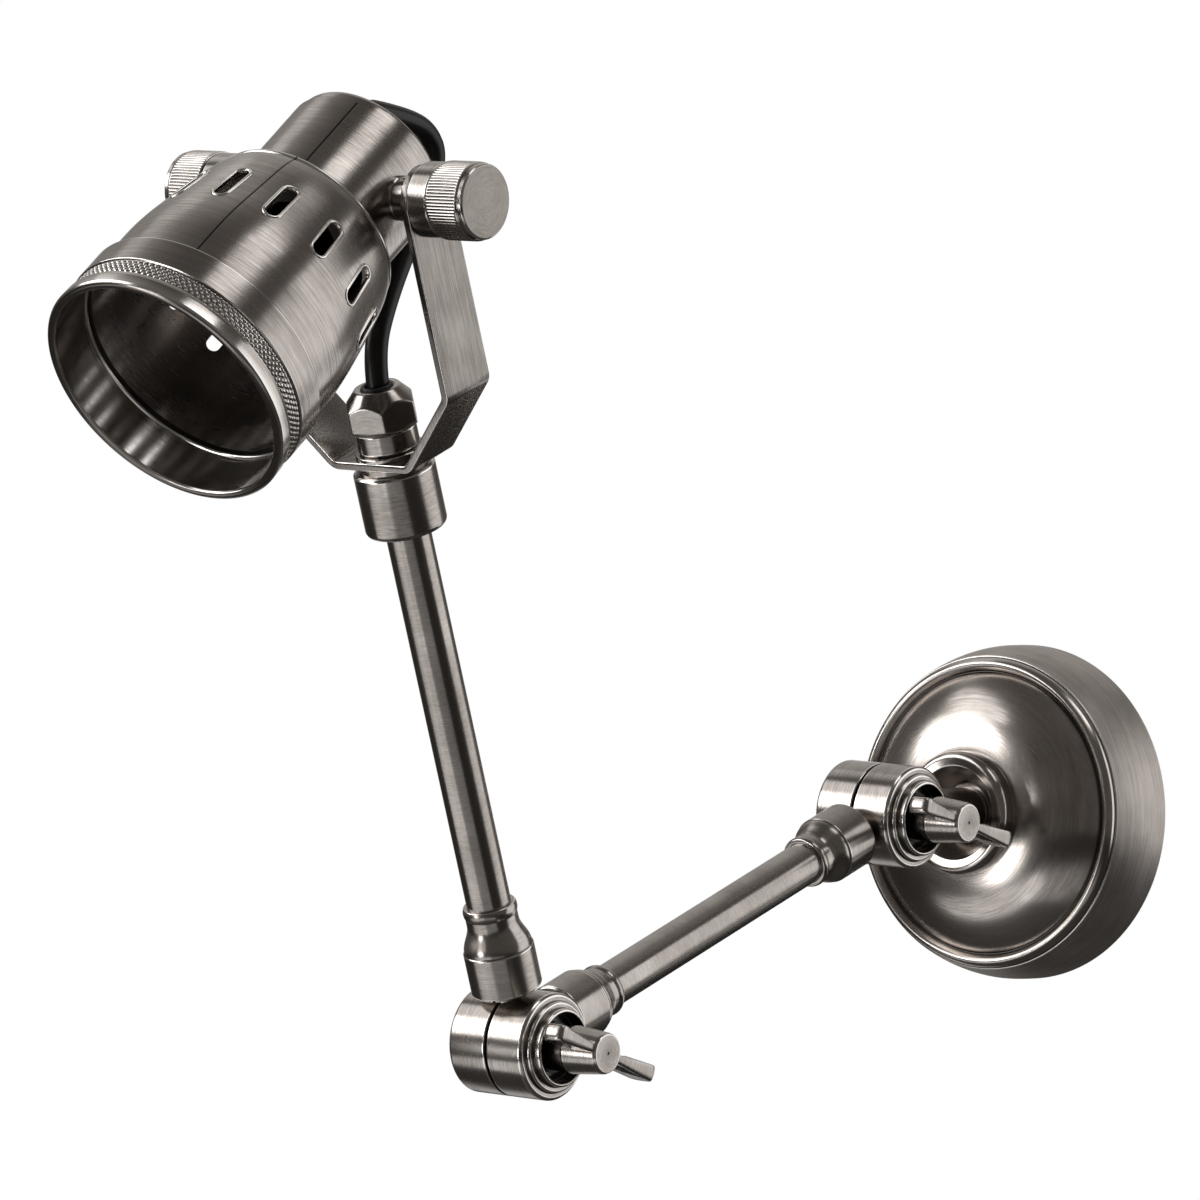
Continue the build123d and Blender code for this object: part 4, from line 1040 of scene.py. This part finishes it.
class LAMP_OT_inner_parts(bpy.types.Operator):
    """Washers, threads, lampholder and the parts behind the canopy"""

    bl_idname = "lamp.inner_parts"
    bl_label = "Inner parts"

    def execute(self, context):
        colours = context.scene.lamp_colours
        dark = plain("darkened_steel", (0.05, 0.045, 0.04), 0.4, metallic=1.0, scale=400.0)
        zinc = plain("zinc_steel", (0.46, 0.45, 0.43), 0.35, metallic=1.0, scale=90.0, mottle=0.25)
        # The lampholder and its brass are darkened as painted shade inside the shade.
        glaze = plain(
            "glazed_porcelain", colours.shaded_porcelain, 0.22, coat=0.4, scale=60.0, mottle=0.04
        )
        brass = plain("shade_darkened_brass", colours.brass, 0.3, metallic=1.0)
        dress(["wall_friction_washer", "elbow_friction_washer", "retaining_ring"], dark)
        dress(["wall_nut_washer", "elbow_nut_washer"], dark)
        dress(["swivel_washer"], brushed("washer_nickel", elbow, upper_dir, rough=0.22))
        dress(["crossbar", "canopy_locknut", "wall_nipple", "hollow_thread"], zinc)
        dress(["lampholder_stud"], zinc)
        dress(["lampholder"], glaze)
        dress(["screw_shell", "contact_tab", "ground_screw"], brass)
        return {"FINISHED"}


def heading(azimuth, elevation):
    """Unit vector at an angle from straight out of the wall towards +X, and one up, in radians."""
    level = math.cos(elevation)
    return Vector((math.sin(azimuth) * level, -math.cos(azimuth) * level, math.sin(elevation)))


class LAMP_OT_studio(bpy.types.Operator):
    """Pale floor, soft lights, dark studio with a white backdrop, and the camera"""

    bl_idname = "lamp.studio"
    bl_label = "Studio"

    def execute(self, context):
        context.scene.view_settings.view_transform = "Standard"
        self.camera()
        self.world()
        self.floor(context.scene.lamp_colours)
        self.lights()
        return {"FINISHED"}

    def camera(self):
        """Camera at the photograph's place, turned by its azimuth, elevation and roll."""
        back = heading(VIEW_AZIMUTH, VIEW_ELEVATION)
        right = heading(VIEW_AZIMUTH + math.pi / 2, 0)
        tilted_right = math.cos(VIEW_ROLL) * right + math.sin(VIEW_ROLL) * back.cross(right)
        data = bpy.data.cameras.new("camera")
        data.sensor_width = 36.0
        data.lens = data.sensor_width * 8183 / 1200  # the photograph's focal length and width, px
        data.clip_end = 50
        camera = bpy.data.objects.new("camera", data)
        turn = Matrix((tilted_right, back.cross(tilted_right), back)).transposed().to_4x4()
        camera.matrix_world = Matrix.Translation((1.8035, -2.5412, 0.1696)) @ turn
        bpy.context.scene.collection.objects.link(camera)
        bpy.context.scene.camera = camera

    def world(self):
        """Dim room, paler high behind the lamp, and white as the camera sees it.

        Glossy rays see the white in a narrow cone straight behind the lamp, and the room beside
        it. Each cone is a range of the cosine between a ray and its middle.
        """
        world = bpy.data.worlds.new("studio")
        world.use_nodes = True
        bpy.context.scene.world = world
        tree = world.node_tree
        way = add_node(tree, "TexCoord")["Generated"]
        rays = add_node(tree, "LightPath")
        straight, raised = (
            vector_maths(tree, "DOT_PRODUCT", way, heading(VIEW_AZIMUTH + math.pi, up))
            for up in (0, math.radians(43))
        )
        pale = ranged(tree, raised, 0.0, 1.0, 0.76, 0.97)
        room = mixed(tree, pale, (0.115, 0.107, 0.10), (0.58, 0.565, 0.55))
        cone = ranged(tree, straight, 0.0, 1.0, 0.96, 0.997)
        base = mixed(tree, maths(tree, "MULTIPLY", cone, rays["Is Glossy Ray"]), room, WHITE)
        direct = maths(tree, "MAXIMUM", rays["Is Camera Ray"], rays["Is Transmission Ray"])
        fill(tree, tree.nodes["Background"], {"Color": mixed(tree, direct, base, WHITE)})

    def floor(self, colours):
        """Flat pale floor far below the lamp: white to the camera, dark to glossy rays."""
        material, tree, surface = new_material("studio_floor")
        rays = add_node(tree, "LightPath")
        fill(tree, surface, {
            "Roughness": 0.9,
            "Base Color": mixed(tree, rays["Is Glossy Ray"], colours.floor, (0.1, 0.095, 0.09)),
            "Emission Color": WHITE,
            "Emission Strength": maths(tree, "MULTIPLY", rays["Is Camera Ray"], 0.9),
        })
        half, low = 12.0, -2.4
        corners = [(x * half, y * half, low) for x, y in ((-1, -1), (1, -1), (1, 1), (-1, 1))]
        mesh = bpy.data.meshes.new("studio_floor")
        mesh.from_pydata(corners, [], [(0, 1, 2, 3)])
        mesh.materials.append(material)
        floor = bpy.data.objects.new("studio_floor", mesh)
        bpy.context.scene.collection.objects.link(floor)

    def lights(self):
        """Soft boxes and disks round the lamp.

        Each is (degrees right of the camera, degrees up, width, height, radiance, aim): the
        angles are seen from the aim, and a disk has no height. Power is radiance x pi x area.
        """
        middle = Vector((0, -0.26, 0.07))
        dome = Vector((0, -0.04, 0))
        reach = 3.0
        for name, right, up, width, height, radiance, aim in (
            ("left_box", -86.0, 18.0, 44.0, 28.0, 4.5, middle),
            ("left_high_box", -92.0, 41.0, 46.0, 20.0, 1.5, middle),
            ("right_box", 96.0, 12.0, 50.0, 52.0, 1.15, middle),
            ("right_low_box", 136.0, -14.0, 34.0, 11.0, 1.0, middle),
            ("top_right_box", 54.0, 65.0, 20.0, 22.0, 2.1, middle),
            ("back_left_box", -143.0, 45.0, 18.0, 20.0, 0.5, middle),
            ("low_left_box", -64.0, -42.0, 62.0, 22.0, 1.0, middle),
            ("low_front_box", -5.0, -42.0, 52.0, 22.0, 0.35, middle),
            ("low_back_box", -168.0, -35.0, 26.0, 18.0, 0.55, middle),
            ("round_lamp", -60.0, -14.0, 17.0, 0.0, 6.0, dome),
            ("small_lamp", -48.0, 3.0, 5.0, 0.0, 6.0, dome),
        ):
            direction = heading(VIEW_AZIMUTH + math.radians(right), math.radians(up))
            data = bpy.data.lights.new(name, "AREA")
            data.size = 2 * reach * math.tan(math.radians(width / 2))
            data.shape = "DISK"
            area = math.pi * (data.size / 2) ** 2
            if height:
                data.shape = "ELLIPSE" if "left" in name else "RECTANGLE"
                data.size_y = 2 * reach * math.tan(math.radians(height / 2))
                area = data.size * data.size_y * (math.pi / 4 if "left" in name else 1)
            data.energy = radiance * math.pi * area
            light = bpy.data.objects.new(name, data)
            light.location = aim + direction * reach
            light.rotation_euler = direction.to_track_quat("Z", "Y").to_euler()
            bpy.context.scene.collection.objects.link(light)


class LAMP_PT_panel(bpy.types.Panel):
    """Lists the lamp's pieces in the sidebar"""

    bl_idname = "LAMP_PT_panel"
    bl_label = "Wall lamp"
    bl_space_type = "VIEW_3D"
    bl_region_type = "UI"
    bl_category = "Wall lamp"

    def draw(self, context):
        column = self.layout.column()
        for settings in (context.scene.lamp_sizes, context.scene.lamp_colours):
            for key in settings.bl_rna.properties.keys():
                if key not in ("rna_type", "name"):
                    column.prop(settings, key)
        for operator in OPERATORS:
            column.operator(operator.bl_idname)


OPERATORS = (
    LAMP_OT_studio,
    LAMP_OT_cable,
    LAMP_OT_canopy,
    LAMP_OT_knuckles,
    LAMP_OT_wing_nuts,
    LAMP_OT_arms,
    LAMP_OT_yoke,
    LAMP_OT_gland,
    LAMP_OT_shade,
    LAMP_OT_front_ring,
    LAMP_OT_thumb_screws,
    LAMP_OT_inner_parts,
)
CLASSES = (LampSizes, LampColours, *OPERATORS, LAMP_PT_panel)


def register():
    for cls in CLASSES:
        bpy.utils.register_class(cls)
    bpy.types.Scene.lamp_sizes = bpy.props.PointerProperty(type=LampSizes)
    bpy.types.Scene.lamp_colours = bpy.props.PointerProperty(type=LampColours)


def unregister():
    del bpy.types.Scene.lamp_sizes
    del bpy.types.Scene.lamp_colours
    for cls in reversed(CLASSES):
        bpy.utils.unregister_class(cls)


def main():
    register()
    bpy.ops.lamp.studio()
    bpy.ops.lamp.cable()
    bpy.ops.lamp.canopy()
    bpy.ops.lamp.knuckles()
    bpy.ops.lamp.wing_nuts()
    bpy.ops.lamp.arms()
    bpy.ops.lamp.yoke()
    bpy.ops.lamp.gland()
    bpy.ops.lamp.shade()
    bpy.ops.lamp.front_ring()
    bpy.ops.lamp.thumb_screws()
    bpy.ops.lamp.inner_parts()


if __name__ == "__main__":
    main()
